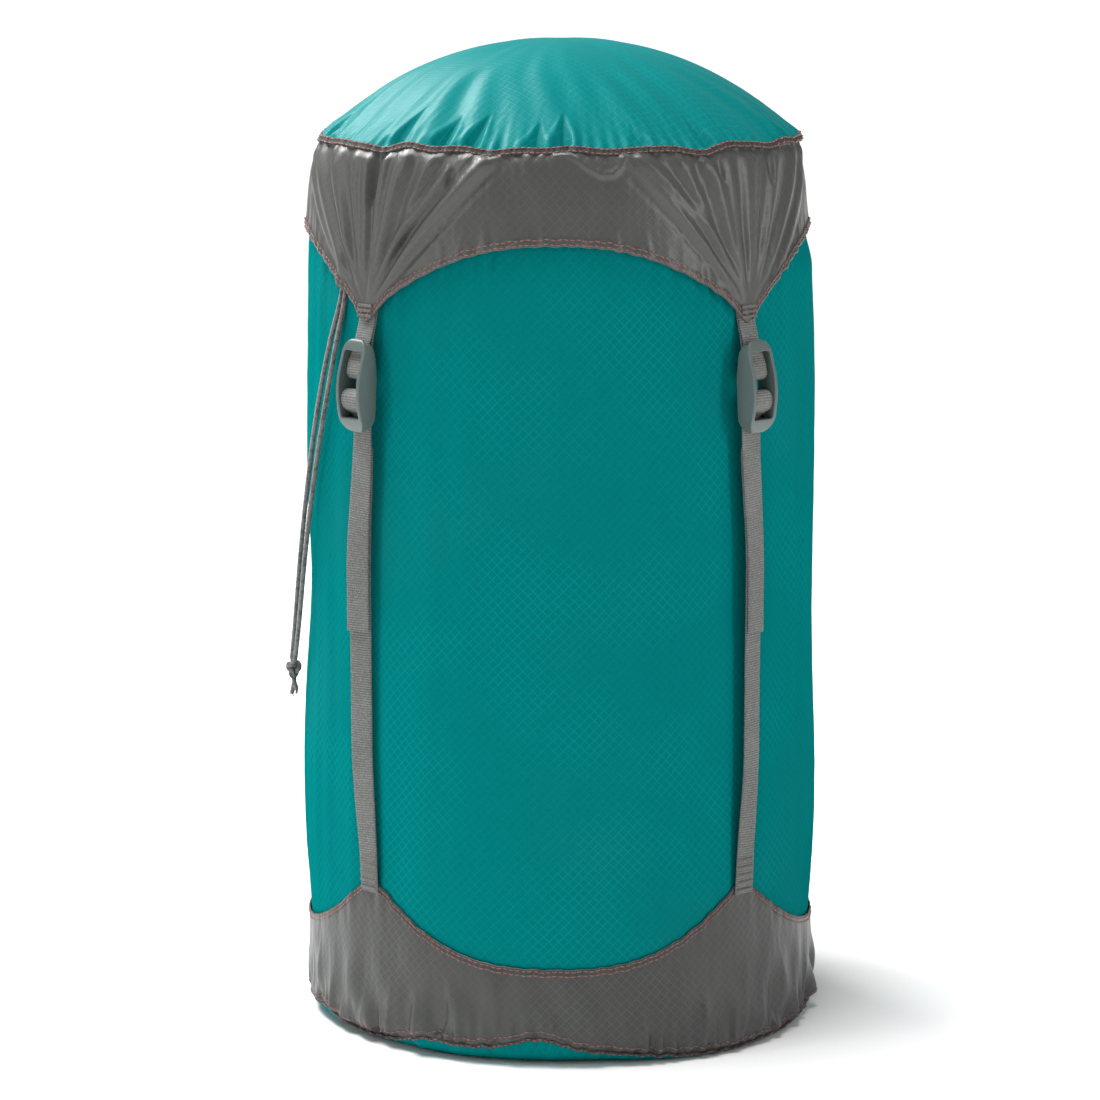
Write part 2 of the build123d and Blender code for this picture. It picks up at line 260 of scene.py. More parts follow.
def sweep(name, line, outward, section, closed=False):
    """A strip or tube along line (n x 3). section is m x 2: sideways, and outwards along outward."""
    line = np.asarray(line, float)
    ahead = unit(np.roll(line, -1, 0) - np.roll(line, 1, 0) if closed else np.gradient(line, axis=0))
    up = unit(outward - (outward * ahead).sum(-1, keepdims=True) * ahead)
    side = np.cross(ahead, up)
    section = np.asarray(section, float)
    if section.ndim == 2:
        section = np.broadcast_to(section, (len(line),) + section.shape)
    points = (line[:, None] + side[:, None] * section[..., :1] + up[:, None] * section[..., 1:])
    count = section.shape[1]
    gaps = np.linalg.norm(np.diff(np.concatenate([line, line[:1]]), axis=0), axis=1)
    along = np.concatenate([[0], np.cumsum(gaps)])
    rim = np.linalg.norm(section[0] - np.roll(section[0], 1, 0), axis=1)
    across = np.concatenate([[0], np.cumsum(np.concatenate([rim[1:], rim[:1]]))])
    rows = len(line)
    faces, r, c = grid_faces(rows + closed, count)
    if closed:
        faces = (r % rows) * count + c % count
    uv = np.stack([across[c], along[r]], -1)
    all_faces, all_uv = [faces[:, ::-1]], [uv[:, ::-1].reshape(-1, 2)]
    if not closed:
        first = np.arange(count)[None]
        last = (rows - 1) * count + np.arange(count)[None, ::-1]
        all_faces += [first, last]
        all_uv += [np.zeros((count, 2)), np.zeros((count, 2))]
    return mesh_object(name, points.reshape(-1, 3), all_faces, np.concatenate(all_uv))


def ellipse(width, height, count):
    a = np.arange(count) * TAU / count
    return np.stack([np.cos(a) * width / 2, np.sin(a) * height / 2], -1)


def resample(line, pitch, closed=False):
    """The same line with points pitch apart."""
    line = np.asarray(line, float)
    if closed:
        line = np.concatenate([line, line[:1]])
    run = np.concatenate([[0], np.cumsum(np.linalg.norm(np.diff(line, axis=0), axis=1))])
    count = max(2, int(round(run[-1] / pitch)) + 1)
    at = np.linspace(0, run[-1], count)
    out = np.stack([np.interp(at, run, line[:, k]) for k in range(line.shape[1])], -1)
    return out[:-1] if closed else out


# ---- drawcord: two strands from the gathered mouth, under the lid's edge, down the sack's side ----
CORD = 2.0
CORD_ANGLE = math.radians(215.5)
CORD_SIDE = 1.3
KNOT = (-111.4, -10.8, 143.5)
HIDDEN = [(-11.8, 387.4), (16, 387.4), (42, 381.4), (67, 371.2), (91.5, 360.0), (101.0, 343.0),
          (103.0, 322.0), (104.4, 305.5)]
HANGING = {
    1: (-CORD_SIDE, [(-91.0, -57.0, 288), (-97.6, -46.0, 258), (-103.3, -33.5, 222), (-107.6, -21.5, 190),
                     (-110.4, -12.5, 163), (-112.2, -9.4, 148.2)]),
    2: (CORD_SIDE, [(-88.5, -61.0, 286), (-95.0, -51.0, 254), (-100.8, -41.0, 220), (-105.0, -31.5, 190),
                    (-108.2, -20.5, 163), (-110.6, -12.4, 148.2)]),
}


def polar(radius, angle, z, side):
    """A point at a radius and height, moved sideways from the line at that angle."""
    c, s = math.cos(angle), math.sin(angle)
    return (radius * c - side * s, radius * s + side * c, z)


def nurbs_line(name, points):
    """The smooth line of a NURBS spline through these control points, in millimetres."""
    curve = bpy.data.curves.new(name, "CURVE")
    curve.dimensions = "3D"
    curve.resolution_u = 24
    spline = curve.splines.new("NURBS")
    spline.points.add(len(points) - 1)
    for point, place in zip(spline.points, points):
        point.co = [v * MM for v in place] + [1.0]
    spline.order_u = 3
    spline.use_endpoint_u = True
    holder = bpy.data.objects.new(name, curve)
    bpy.context.scene.collection.objects.link(holder)
    graph = bpy.context.evaluated_depsgraph_get()
    mesh = bpy.data.meshes.new_from_object(holder.evaluated_get(graph))
    line = np.array([v.co[:] for v in mesh.vertices]) / MM
    bpy.data.objects.remove(holder)
    return line


def steady_normals(line):
    """A direction across the line at each point that doesn't spin round it."""
    ahead = unit(np.gradient(line, axis=0))
    normal = np.cross(ahead[0], (0.0, 0.0, 1.0))
    if np.linalg.norm(normal) < 0.1:
        normal = np.cross(ahead[0], (1.0, 0.0, 0.0))
    out = []
    for t in ahead:
        normal = normal - t * (normal @ t)
        normal = normal / np.linalg.norm(normal)
        out.append(normal)
    return np.array(out)


PITCH = 3.4         # millimetres of cord in a turn of its braid


def braid_section(along, diameter):
    """A cord's section at each angle of its braid's turn: bundles of yarn that cross both ways."""
    around = np.arange(14)[None] * TAU / 14
    over = np.maximum(np.cos(4 * around + along[:, None]), np.cos(4 * around - along[:, None]))
    radius = diameter / 2 * (0.95 + 0.09 * over)
    return np.stack([np.cos(around) * radius, np.sin(around) * radius], -1)


def braided(name, line, diameter):
    line = resample(line, 0.3)
    section = braid_section(np.arange(len(line)) * 0.3 * TAU / PITCH, diameter)
    return sweep(name, line, steady_normals(line), section)


strands = {}
for number, (side, hanging) in HANGING.items():
    control = [polar(r, CORD_ANGLE, z, side) for r, z in HIDDEN] + hanging
    strand_line = nurbs_line(f"strand_path_{number}", control)
    strand_length = np.linalg.norm(np.diff(strand_line, axis=0), axis=1).sum() * MM
    strand = braided(f"drawcord_strand_{number}_braid", strand_line, CORD)
    strands[number] = (strand, strand_line, strand_length)

# ---- shape of the sack's cloth, in millimetres round the sack's axis ----
LID_R, FACE_R, RIM_R = 104.0, 102.0, 99.5       # the lid skirt low down and higher up, and the dome's rim
LID_APEX, YOKE_LOW = 329.0, 40.7                # heights of the arched edges between the straps
ARCH_HALF = 72.0                                # half of an arch, measured straight across
DENT = (184.0, 180.0, 22.0, 2.5)                # angle, height, size and depth of the dent by the cord's end

tube_profile = smooth_profile([(5, 100.0), (12, 103.6), (20, 104.5), (45, 104.8), (75, 105.0), (150, 105.0),
                               (215, 105.3), (250, 104.9), (275, 104.4), (300, 103.8), (316, 103.3),
                               (326, 102.7), (332, 101.8), (338, 100.2), (346, 97.2)], 9)
lid_profile = smooth_profile([(298, 106.8), (320, 105.2), (335, 104.1), (345, 103.4), (351, 102.7),
                              (359.6, 101.3), (366, 99.5), (369, 98.4)], 5)
# The sack's foot, in degrees from +X: radius of the flat on the floor, and height of the bottom seam.
FOOT = [(0, 101), (30, 97), (60, 94), (120, 93), (150, 95), (180, 97), (200, 97.5), (212, 96), (228, 93.5),
        (245, 95.5), (258, 94.5), (270, 94.5), (278, 93.5), (286, 96), (295, 101), (303, 104), (312, 105.5),
        (325, 105), (340, 103)]
FOOT_SEAM = [(0, 5), (45, 8), (90, 8.5), (135, 8), (160, 7), (180, 5), (196, 5), (205, 7.5), (213, 3.5),
             (223, 2.2), (232, 4.5), (241, 8.5), (248, 7), (257, 8), (264, 12), (269, 12), (272.5, 9),
             (278, 6.5), (284, 5), (299, 2.2), (312, 1.3), (322, 2.2), (330, 1.8), (340, 3.2)]


def round_the_sack(pairs, width):
    """A smooth function of the angle in degrees that closes on itself."""
    closed = [(a - 360, v) for a, v in pairs[-4:]] + pairs + [(a + 360, v) for a, v in pairs[:4]]
    profile = smooth_profile(closed, width)
    return lambda phi: profile(np.mod(np.degrees(phi), 360.0))


foot_flat = round_the_sack(FOOT, 14)
foot_seam = round_the_sack(FOOT_SEAM, 7)

long_folds = waves(11, 12, (16, 44), (0.4, 2.6))
side_folds = waves(12, 8, (30, 62), (0.6, 3.4))
crinkle = waves(13, 26, (60, 190), (8, 60))
soft_lumps = waves(14, 10, (3, 9), (2, 8))
edge_pucker = waves(15, 9, (58, 118), (4, 18))
seam_pucker = waves(16, 10, (70, 150), (6, 26))
slant_folds = waves(17, 10, (22, 52), (10, 30))
seam_wave = waves(18, 7, (9, 30), (0, 0.1))
dome_folds = waves(19, 9, (12, 34), (0, 0.1))


def arch_edge(phi, apex, point, power, radius):
    """Height of an arched edge whose points are at the straps."""
    off_middle = TAU / 8 - np.abs(from_strap(phi))
    x = radius * np.sin(off_middle) / ARCH_HALF
    return apex + (point - apex) * np.minimum(1.0, x) ** power


def lid_edge(phi):
    tip = 3.4 * bell(from_strap(phi) * LID_R / 7.5)
    arch = arch_edge(phi, LID_APEX, LID_POINT, power=2.4, radius=103.0)
    return arch - tip + 0.25 * edge_pucker(phi, 40.0)


def yoke_edge(phi):
    arch = arch_edge(phi, YOKE_LOW, YOKE_POINT, power=2.9, radius=106.5)
    return arch + 0.2 * edge_pucker(phi, 80.0)


def angle_off(phi, centre):
    """Signed angle from centre (degrees) to phi, in degrees."""
    return np.mod(np.degrees(phi) - centre + 180.0, 360.0) - 180.0


def corner(phi):
    """Fullness of the sack's foot at its front right."""
    return 3.5 * bell(angle_off(phi, 312.0) / 26.0)


def swell(phi, z):
    """Fullness of the sack's lower part: at its front right corner, and low on both flanks."""
    return corner(phi) * step01((46 - z) / 34) + 2.2 * np.cos(phi) ** 6 * bell((z - 92.0) / 52.0)


def tube_radius(phi, z):
    """Outer face of the tube."""
    off = from_strap(phi)
    open_part = step01((z - 55) / 60) * step01((308 - z) / 46)
    r = tube_profile(z) + 1.7 * (np.sin(2 * np.abs(off)) - 0.78) * open_part
    r = r - 0.9 * bell(off * 105 / 6.5) * open_part + swell(phi, z) * step01((z - 20) / 30)
    r = r - 1.8 * bell(angle_off(phi, 0.0) / 30.0) * step01((z - 312) / 14)
    flank = np.cos(phi) ** 2
    fade = step01((z - 40) / 30) * step01((334 - z) / 14)
    r = r + (0.16 + 0.42 * flank) * long_folds(phi, z) * fade
    r = r + 0.34 * flank * side_folds(phi, z) * fade
    r = r + (0.04 + 0.03 * flank) * crinkle(phi, z) + 0.3 * soft_lumps(phi, z) * fade
    below = np.maximum(lid_edge(phi) - z, 0.0)
    above = np.maximum(z - yoke_edge(phi), 0.0)
    r = r + 0.55 * edge_pucker(phi, z) * (np.exp(-below / 7.0) + 0.7 * np.exp(-above / 6.0)) * fade
    angle, height, size, depth = DENT
    r = r - depth * bell(np.radians(angle_off(phi, angle)) * 105 / size) * bell((z - height) / (1.5 * size))
    return r


# Pleats of the lid's skirt fan out from its points: where each crosses a height over the point (across,
# height), how its line bends, its height and its width, in millimetres.
FAN = [(-62, 60, 1.0, 0.8, 4.2), (-41, 50, 1.0, 1.1, 3.4), (-25, 52, 1.0, 1.3, 3.4),
       (-12, 58, 0.9, 1.0, 2.2), (-5, 64, 1.0, 0.8, 1.3), (6, 58, 0.9, 1.1, 1.5), (17, 62, 1.0, 1.5, 3.6),
       (29, 62, 0.9, 1.0, 2.0), (45, 64, 1.3, 1.3, 2.0), (57, 67, 1.05, 1.6, 3.0)]
POCKETS = {1: [(-1, 38, 1.5, 4.4, 2.6), (-29, 50, -2.0, 3.2, 1.6), (37, 50, 6.0, 3.2, 1.4)],
           2: [(-9, 50, -6.0, 3.6, 1.6), (20, 48, 2.0, 2.6, 1.2)],
           3: [(3, 44, 2.0, 3.4, 1.8), (-26, 52, -2.0, 2.8, 1.2)],
           4: [(-3, 40, -2.0, 4.0, 2.2), (28, 50, 3.0, 3.0, 1.3)]}
FAN_STRENGTH = {1: 1.0, 2: 0.62, 3: 0.8, 4: 0.9}


def fan_pleats(phi, z):
    """Pleats and pockets round the lid's four points."""
    out = np.zeros(np.broadcast(phi, z).shape)
    which = nearest_strap(phi)
    across = from_strap(phi) * LID_R
    high = np.clip(z - LID_POINT, 0.5, None)
    rng = np.random.default_rng(31)
    for point in (1, 2, 3, 4):
        here = which == point
        mirror = -1.0 if point in (2, 4) else 1.0
        total = np.zeros_like(out)
        for s, h, bend, size, width in FAN:
            jitter = rng.uniform(0.9, 1.1, 3) if point > 1 else np.ones(3)
            centre = mirror * s * jitter[0] * (high / h) ** (bend * jitter[1])
            spread = 0.9 + 1.35 * width * (high / 66.0)
            x = (across - centre) / spread
            grow = np.clip((high - 2.0) / 26.0, 0.04, 1.0)
            fold = bell(x) - 0.25 * bell((np.abs(x) - 1.9) / 0.8)
            total += 1.8 * size * jitter[2] * FAN_STRENGTH[point] * grow * fold
        for s, low, lean, half, depth in POCKETS[point]:
            rise = np.clip((high - low) / (66.0 - low), 0.0, 1.0)
            x = (across - s - lean * rise) / (half * rise + 0.35)
            total -= depth * step01(rise * 3.0) * np.exp(-np.abs(x) ** 3)
        out += np.where(here, total, 0.0)
    return out


def near_line(phi, z, angle, points):
    """Distance in millimetres to a line drawn on the lid; its points are (across from angle, height)."""
    x = np.radians(angle_off(phi, angle)) * FACE_R
    best = np.full(np.broadcast(phi, z).shape, 1e3)
    for (x0, z0), (x1, z1) in zip(points, points[1:]):
        length2 = (x1 - x0) ** 2 + (z1 - z0) ** 2
        t = np.clip(((x - x0) * (x1 - x0) + (z - z0) * (z1 - z0)) / length2, 0, 1)
        best = np.minimum(best, np.hypot(x - x0 - t * (x1 - x0), z - z0 - t * (z1 - z0)))
    return best


# A curled fold high on the skirt, as points (across, height).
CURL = [(0, 364.0), (4, 365.0), (8, 363.2), (13, 359.4), (18, 356.6), (22.5, 356.8), (25.5, 359.4),
        (26.5, 364.0)]
# Small folds that rise from the skirt's edge: across, and lean.
RISERS = [(-38, 2.0), (-27, 0.5), (-17, 3.5), (-6, 3.0), (11, 1.0), (24, -2.0), (37, -3.0)]


def lid_radius(phi, z):
    """Outer face of the lid's skirt."""
    edge = lid_edge(phi)
    top = lid_seam_height(phi)
    r = lid_profile(z) + fan_pleats(phi, z) * (1 - 0.5 * step01((z - 356) / 12))
    r = r - 2.4 * bell(angle_off(phi, 0.0) / 34.0) * step01((z - 305) / 30)
    r = r - 1.6 * bell(angle_off(phi, 184.0) / 26.0) * step01((z - 352) / 12)
    r = r + 0.3 * slant_folds(phi, z) * step01((np.abs(from_strap(phi)) - 0.4) / 0.3)
    r = r + 0.04 * crinkle(phi, z)
    under = np.maximum(top - z, 0.0)
    r = r + 0.6 * seam_pucker(phi, z) * np.exp(-under / 4.5) - 0.5 * bell((under - 2.2) / 1.6)
    over = np.maximum(z - edge, 0.0)
    r = r + 0.3 * edge_pucker(phi, z) * np.exp(-over / 6.0)
    for face in range(4):
        angle = -90.0 + 90.0 * face
        twist = 1.0 if face % 2 == 0 else -1.0
        for shift, lean in RISERS:
            x = np.radians(angle_off(phi, angle)) * FACE_R - twist * (shift + lean * over / 12.0)
            riser = bell(x / (0.9 + 0.08 * over)) * bell(over / 9.0) * step01(over / 2.0)
            r = r + 0.55 * riser
    for angle, size in ((-90.0, 1.1), (96.0, 0.7)):
        r = r + size * bell(near_line(phi, z, angle, CURL) / 1.5)
    cord_bump = bell(np.radians(angle_off(phi, 215.5)) * LID_R / 3.4)
    r = r + 1.5 * cord_bump * step01((340 - z) / 30)
    hem = 0.4 * step01((3.4 - over) / 0.5)
    return np.maximum(r + hem, tube_radius(phi, z) + 1.3)


LID_SEAM_R = 98.3
# Kinks in the lid seam: angle, height and width in degrees.
KINKS = [(-133, -1.6, 5.0), (-124, 1.2, 5.0), (-104, -1.3, 5.0), (-96, 0.8, 5.0), (-55, -1.4, 5.0),
         (-47, 1.0, 4.0)]


def lid_seam_height(phi):
    kinks = sum(size * bell(angle_off(phi, angle) / width) for angle, size, width in KINKS)
    return SEAM_Z + 0.5 * seam_wave(phi, 0.0) + kinks


def lid_seam_radius(phi):
    return LID_SEAM_R + 0.5 * seam_pucker(phi, 0.0) + 0.35 * seam_wave(phi + 1.0, 0.0)


# Dents where the dome is gathered into its seam: angle, half width, depth and reach inwards, and lean.
DENTS = [(-131.5, 6.2, 3.2, 0.22, 1.0), (-118.5, 5.2, 2.6, 0.17, 2.0), (-110.5, 4.6, 2.8, 0.17, 2.5),
         (-95.0, 4.2, 2.2, 0.13, 1.0), (-88.5, 4.6, 2.6, 0.16, 0.5), (-70.0, 3.4, 1.2, 0.12, -1.0),
         (-52.0, 4.6, 1.8, 0.16, -2.0), (-20.0, 5.0, 2.4, 0.18, 0.0), (6.0, 4.4, 2.0, 0.15, 1.5),
         (31.0, 5.4, 2.6, 0.2, 0.0), (52.0, 4.4, 2.0, 0.15, 0.0), (74.0, 5.4, 2.6, 0.18, 2.0),
         (98.0, 4.4, 2.2, 0.14, 0.0), (122.0, 5.0, 2.6, 0.2, -2.0), (147.0, 4.8, 2.4, 0.16, 0.0),
         (171.0, 5.2, 2.4, 0.18, 1.0), (196.0, 4.4, 2.0, 0.14, -1.0)]


def dome_height(phi, share):
    """Outer face of the dome. share is 0 in the middle and 1 at the seam."""
    seam = lid_seam_height(phi)
    z = seam + (DOME_TOP + 1.2 - seam) * (1 - share ** 2.28)
    swirl = phi + 0.35 * (1 - share)
    soft = step01((share - 0.22) / 0.6) * (1 - 0.5 * share ** 6)
    z = z + 0.8 * dome_folds(swirl, 0.0) * soft * step01((share - 0.35) / 0.5)
    z = z + 0.12 * long_folds(phi - 0.2 * (1 - share), 0.0) * soft * share
    z = z + 0.7 * soft_lumps(phi, 40 * share) * step01(share * 2) * (1 - share ** 4)
    reach = (1 - share) * RIM_R
    z = z + 0.5 * seam_pucker(phi, 0.0) * np.exp(-reach / 4.5) * (reach > 0.01)
    z = z + 0.05 * crinkle(phi + 0.6 * share, 240 * share) * share ** 3
    for angle, half, depth, inwards, lean in DENTS:
        v = np.clip((1 - share) / inwards, 0, 1)
        x = np.radians(angle_off(phi, angle + lean * v)) * RIM_R / (half * (1 - v) + 0.4)
        body = np.clip(1 - np.abs(x), 0, 1) ** 0.8
        z = z - 2.0 * depth * body * (1 - v) * np.minimum(1.0, v * 6.0)
        z = z + 0.4 * depth * bell((np.abs(x) - 1.4) / 0.5) * (1 - v) * np.minimum(1.0, v * 4.0)
    return z


def base_radius(phi, z):
    """Radius of the sack's lower rounding at a height."""
    flat = foot_flat(phi)
    rounding = 106.0 + corner(phi) - flat
    low = np.clip(rounding - z, 0.0, rounding)
    return flat + np.sqrt(rounding ** 2 - low ** 2)


def bottom_seam_point(phi):
    z = np.maximum(foot_seam(phi) + 0.4 * seam_pucker(phi, 60.0), 0.9)
    return base_radius(phi, z) + 0.4 * seam_pucker(phi, 20.0), z


def seam_angle(phi):
    """Tilt of the cloth at the bottom seam, below the horizontal."""
    rounding = base_radius(phi, 40.0) - foot_flat(phi)
    return np.arcsin(np.clip(bottom_seam_point(phi)[1] / rounding - 1.0, -1.0, 0.0))


def yoke_radius(phi, z):
    """Outer face of the bottom yoke."""
    foot = bottom_seam_point(phi)[1]
    up = np.maximum(z - foot, 0.0)
    r = base_radius(phi, z) + 0.5
    r = r - corner(phi) * (1 - step01((46 - z) / 34))
    r = r + 1.25 * seam_pucker(phi, z) * np.exp(-up / 8.0) * step01(up / 1.5)
    r = r + 1.3 * slant_folds(phi, z) * bell(up / 24.0) + 0.35 * soft_lumps(phi, z)
    r = r + 0.25 * long_folds(phi, z) + 0.05 * crinkle(phi, z)
    down = np.maximum(yoke_edge(phi) - z, 0.0)
    r = r + 0.25 * edge_pucker(phi, z) * np.exp(-down / 6.0) + 0.35 * step01((3.2 - down) / 0.5)
    under = tube_radius(phi, z) + 0.9
    snug = np.exp(-down / 7.0) * step01((z - 16.0) / 16.0)
    r = r + np.maximum(under - r, 0.0) * step01((z - 6.0) / 4.0)
    return r + (under + 0.1 - r) * snug


def turned_grid(radius, phi, z):
    radius, phi, z = np.broadcast_arrays(radius, phi, z)
    return np.stack([radius * np.cos(phi), radius * np.sin(phi), z], -1)


def around(count):
    return np.arange(count) * TAU / count


def wrapped_uv(points, radius, v):
    """Weave coordinates of a turned grid: millimetres round the sack, and v up it."""
    rows, cols = points.shape[:2]
    u = np.arange(cols + 1) * TAU / cols * radius
    return np.stack([np.broadcast_to(u, (rows, cols + 1)), np.concatenate([v, v[:, :1]], 1)], -1)


def turned_cloth(name, radius, phi, z, girth):
    """Cloth that runs round the sack; its weave is measured round it at the radius girth."""
    points = turned_grid(radius, phi, z)
    return ring_object(name, points, wrapped_uv(points, girth, points[..., 2]))


# tube
phi = around(640)[None]
height = np.linspace(10.0, TUBE_TOP, 190)[:, None]
tube = turned_cloth("body_tube_cloth", tube_radius(phi, height), phi, height, 105.0)

# bottom yoke
phi = around(720)[None]
share = np.linspace(0, 1, 58)[:, None] ** 1.25
foot_r, foot_z = bottom_seam_point(phi)
height = foot_z + (yoke_edge(phi) - foot_z) * share
radius = yoke_radius(phi, height)
radius = foot_r + (radius - foot_r) * step01(share / 0.06)
bottom_yoke = turned_cloth("bottom_yoke_cloth", radius, phi, height, 106.0)

# bottom disc: gathered rounding from the seam down to the flat that rests on the floor
phi = around(480)[None]
share = np.linspace(0, 1, 46)[:, None]
foot_r, foot_z = bottom_seam_point(phi)
height = foot_z * np.clip(1 - share / 0.45, 0.0, 1.0) ** 2
radius = base_radius(phi, height) * np.clip((1.01 - share) / 0.56, 0.0, 1.0)
gathers = 0.9 * seam_pucker(phi, 20.0) * np.exp(-share * 9)
radius = radius + gathers + 0.7 * slant_folds(phi, 10.0) * np.exp(-share * 5) * step01(share * 8)
lumps = 0.25 * (1 + soft_lumps(phi, 100 * share)) * step01(share * 3) * (share < 0.97)
height = np.where(share == 0, foot_z, np.maximum(height + lumps, 0.0))
radius = np.where(share == 0, foot_r, radius)
points = turned_grid(radius, phi, height)
bottom_disc = disc_object("bottom_disc_cloth", points, points[..., :2], flip=True)

# lid skirt
phi = around(900)[None]
share = np.linspace(0, 1, 64)[:, None]
edge, seam = lid_edge(phi), lid_seam_height(phi)
height = edge + (seam - edge) * share
radius = lid_radius(phi, height)
radius = radius + (lid_seam_radius(phi) - radius) * step01((share - 0.93) / 0.07)
lid_yoke = turned_cloth("lid_yoke_cloth", radius, phi, height, LID_R)

# lid dome
phi = around(900)[None]
share = 1 - np.linspace(0, 0.992, 92)[:, None]
rim = LID_SEAM_R + (lid_seam_radius(phi) - LID_SEAM_R) * np.exp((share - 1) * LID_SEAM_R / 6.0)
points = turned_grid(rim * share, phi, dome_height(phi, share))
dome = disc_object("lid_dome_cloth", points, points[..., :2])


# ---- seams and stitching ----
def ring_frame(phi, radius, height, tilt):
    """A line round the sack, and its outward directions, tilt above the horizontal."""
    return turned_grid(radius, phi, height), turned_grid(np.cos(tilt), phi, np.sin(tilt))


STITCH_PITCH, STITCH, THREAD = 2.5, 2.0, 0.5


def stitches(name, line, outward, seed):
    """A row of short stitches along a closed line, each dipping into the cloth at its ends."""
    rng = np.random.default_rng(seed)
    both = resample(np.concatenate([line, outward], 1), 0.5, True)
    line, outward = both[:, :3], unit(both[:, 3:])
    step = np.linalg.norm(np.diff(line, axis=0), axis=1)
    run = np.concatenate([[0], np.cumsum(step)])
    centres = np.arange(STITCH_PITCH / 2, run[-1], STITCH_PITCH)
    rings, sides = 5, 6
    t = np.linspace(-0.5, 0.5, rings)
    around_stitch = np.arange(sides) * TAU / sides
    thick = np.array([0.35, 0.9, 1.0, 0.9, 0.35])
    lift = np.array([-0.12, 0.08, 0.14, 0.08, -0.12])
    at = centres[:, None] + t[None] * STITCH * rng.uniform(0.9, 1.06, (len(centres), 1))
    at = at % run[-1]
    pick = [np.stack([np.interp(at, run, source[:, k]) for k in range(3)], -1) for source in (line, outward)]
    middle, up = pick[0], unit(pick[1])
    ahead = unit(np.roll(middle, -1, 1) - middle)
    ahead[:, -1] = ahead[:, -2]
    side = np.cross(ahead, up)
    wobble = rng.uniform(-0.06, 0.06, (len(centres), 1, 1))
    middle = middle + side * wobble + up * lift[None, :, None]
    radius = THREAD / 2 * thick[None, :, None, None]
    ring = (side[:, :, None] * np.cos(around_stitch)[None, None, :, None]
            + up[:, :, None] * 0.8 * np.sin(around_stitch)[None, None, :, None]) * radius
    points = (middle[:, :, None] + ring).reshape(-1, 3)
    faces, _, _ = grid_faces(rings, sides)
    start = np.arange(len(centres))[:, None, None] * rings * sides
    faces = (faces[None, :, ::-1] + start).reshape(-1, 4)
    first = (np.arange(sides)[None, None] + start).reshape(-1, sides)
    last = ((rings - 1) * sides + np.arange(sides)[None, None, ::-1] + start).reshape(-1, sides)
    return mesh_object(name, points, [faces, first, last])


def edge_row(surface, edge, lift, raise_by):
    """A stitch line on a turned surface, raise_by millimetres from its edge."""
    phi = around(2880)
    z = edge(phi) + raise_by
    r = surface(phi, z) + lift
    return ring_frame(phi, r, z, 0 * phi)


# Two rows of stitches along each edge: the millimetres from the edge to each row, and the row's seed.
lid_rows, base_rows = [], []
for gap, seed in ((0.9, 51), (2.7, 52)):
    row = edge_row(lid_radius, lid_edge, 0.12, gap)
    lid_rows.append(stitches(f"lid_edge_stitches_{seed}", *row, seed))
for gap, seed in ((-0.9, 53), (-2.6, 54)):
    row = edge_row(yoke_radius, yoke_edge, 0.12, gap)
    base_rows.append(stitches(f"yoke_edge_stitches_{seed}", *row, seed))

# Section of a folded seam strip: sideways, and outwards.
STRIP = [(-1.5, -0.2), (-1.4, 0.2), (-0.8, 0.36), (-0.3, 0.26), (0.3, 0.26), (0.8, 0.36), (1.4, 0.2),
         (1.5, -0.2), (0.6, -0.4), (-0.6, -0.4)]
phi = around(1440)
tilt = np.full(1440, 0.45)
seam_line, seam_out = ring_frame(phi, lid_seam_radius(phi) + 0.25, lid_seam_height(phi) - 0.3, tilt)
lid_seam = sweep("lid_seam_strip", seam_line, seam_out, STRIP, closed=True)
seam_up = unit(np.cross(seam_out, np.roll(seam_line, -1, 0) - np.roll(seam_line, 1, 0)))
seam_up = seam_up * np.sign(seam_up[:, 2:])
for shift, seed in ((-0.95, 55), (0.95, 56)):
    row_line = seam_line + seam_up * shift + seam_out * 0.38
    lid_rows.append(stitches(f"lid_seam_stitches_{seed}", row_line, seam_out, seed))

foot_r, foot_z = bottom_seam_point(phi)
foot_line, foot_out = ring_frame(phi, foot_r + 0.1, foot_z, seam_angle(phi))
bottom_seam = sweep("bottom_seam_strip", foot_line, foot_out, np.array(STRIP) * (0.55, 0.8), closed=True)
base_rows.append(stitches("bottom_seam_stitches", foot_line + foot_out * 0.35, foot_out, 57))
above_seam = edge_row(yoke_radius, lambda p: bottom_seam_point(p)[1], 0.15, 3.2)
base_rows.append(stitches("bottom_yoke_stitches", *above_seam, 58))
lid_thread = join("lid_stitching", lid_rows)
base_thread = join("base_stitching", base_rows)


# ---- straps ----
WEB_WIDTH, WEB = 10.0, 1.2
SWAY = 3.4          # how far a strap wanders from a straight line
LEG_R, TAIL_R = 107.9, 109.4
TWIST = {1: 0.3, 2: 0.14, 3: 0.1, 4: -0.15}     # radians by which each strap turns about its length
# The buckle's lower bar, which the strap wraps: radius and height of its middle, and its section.
LOCK_R, LOCK_Z, LOCK_DEEP, LOCK_TALL = BAR_R + 3.1, BAR_Z - 10.4, 2.4, 4.2
SPLIT = (LEG_HIGH + TAIL_HIGH) / 2 + 0.3        # height at which the wrap meets the leg and the tail


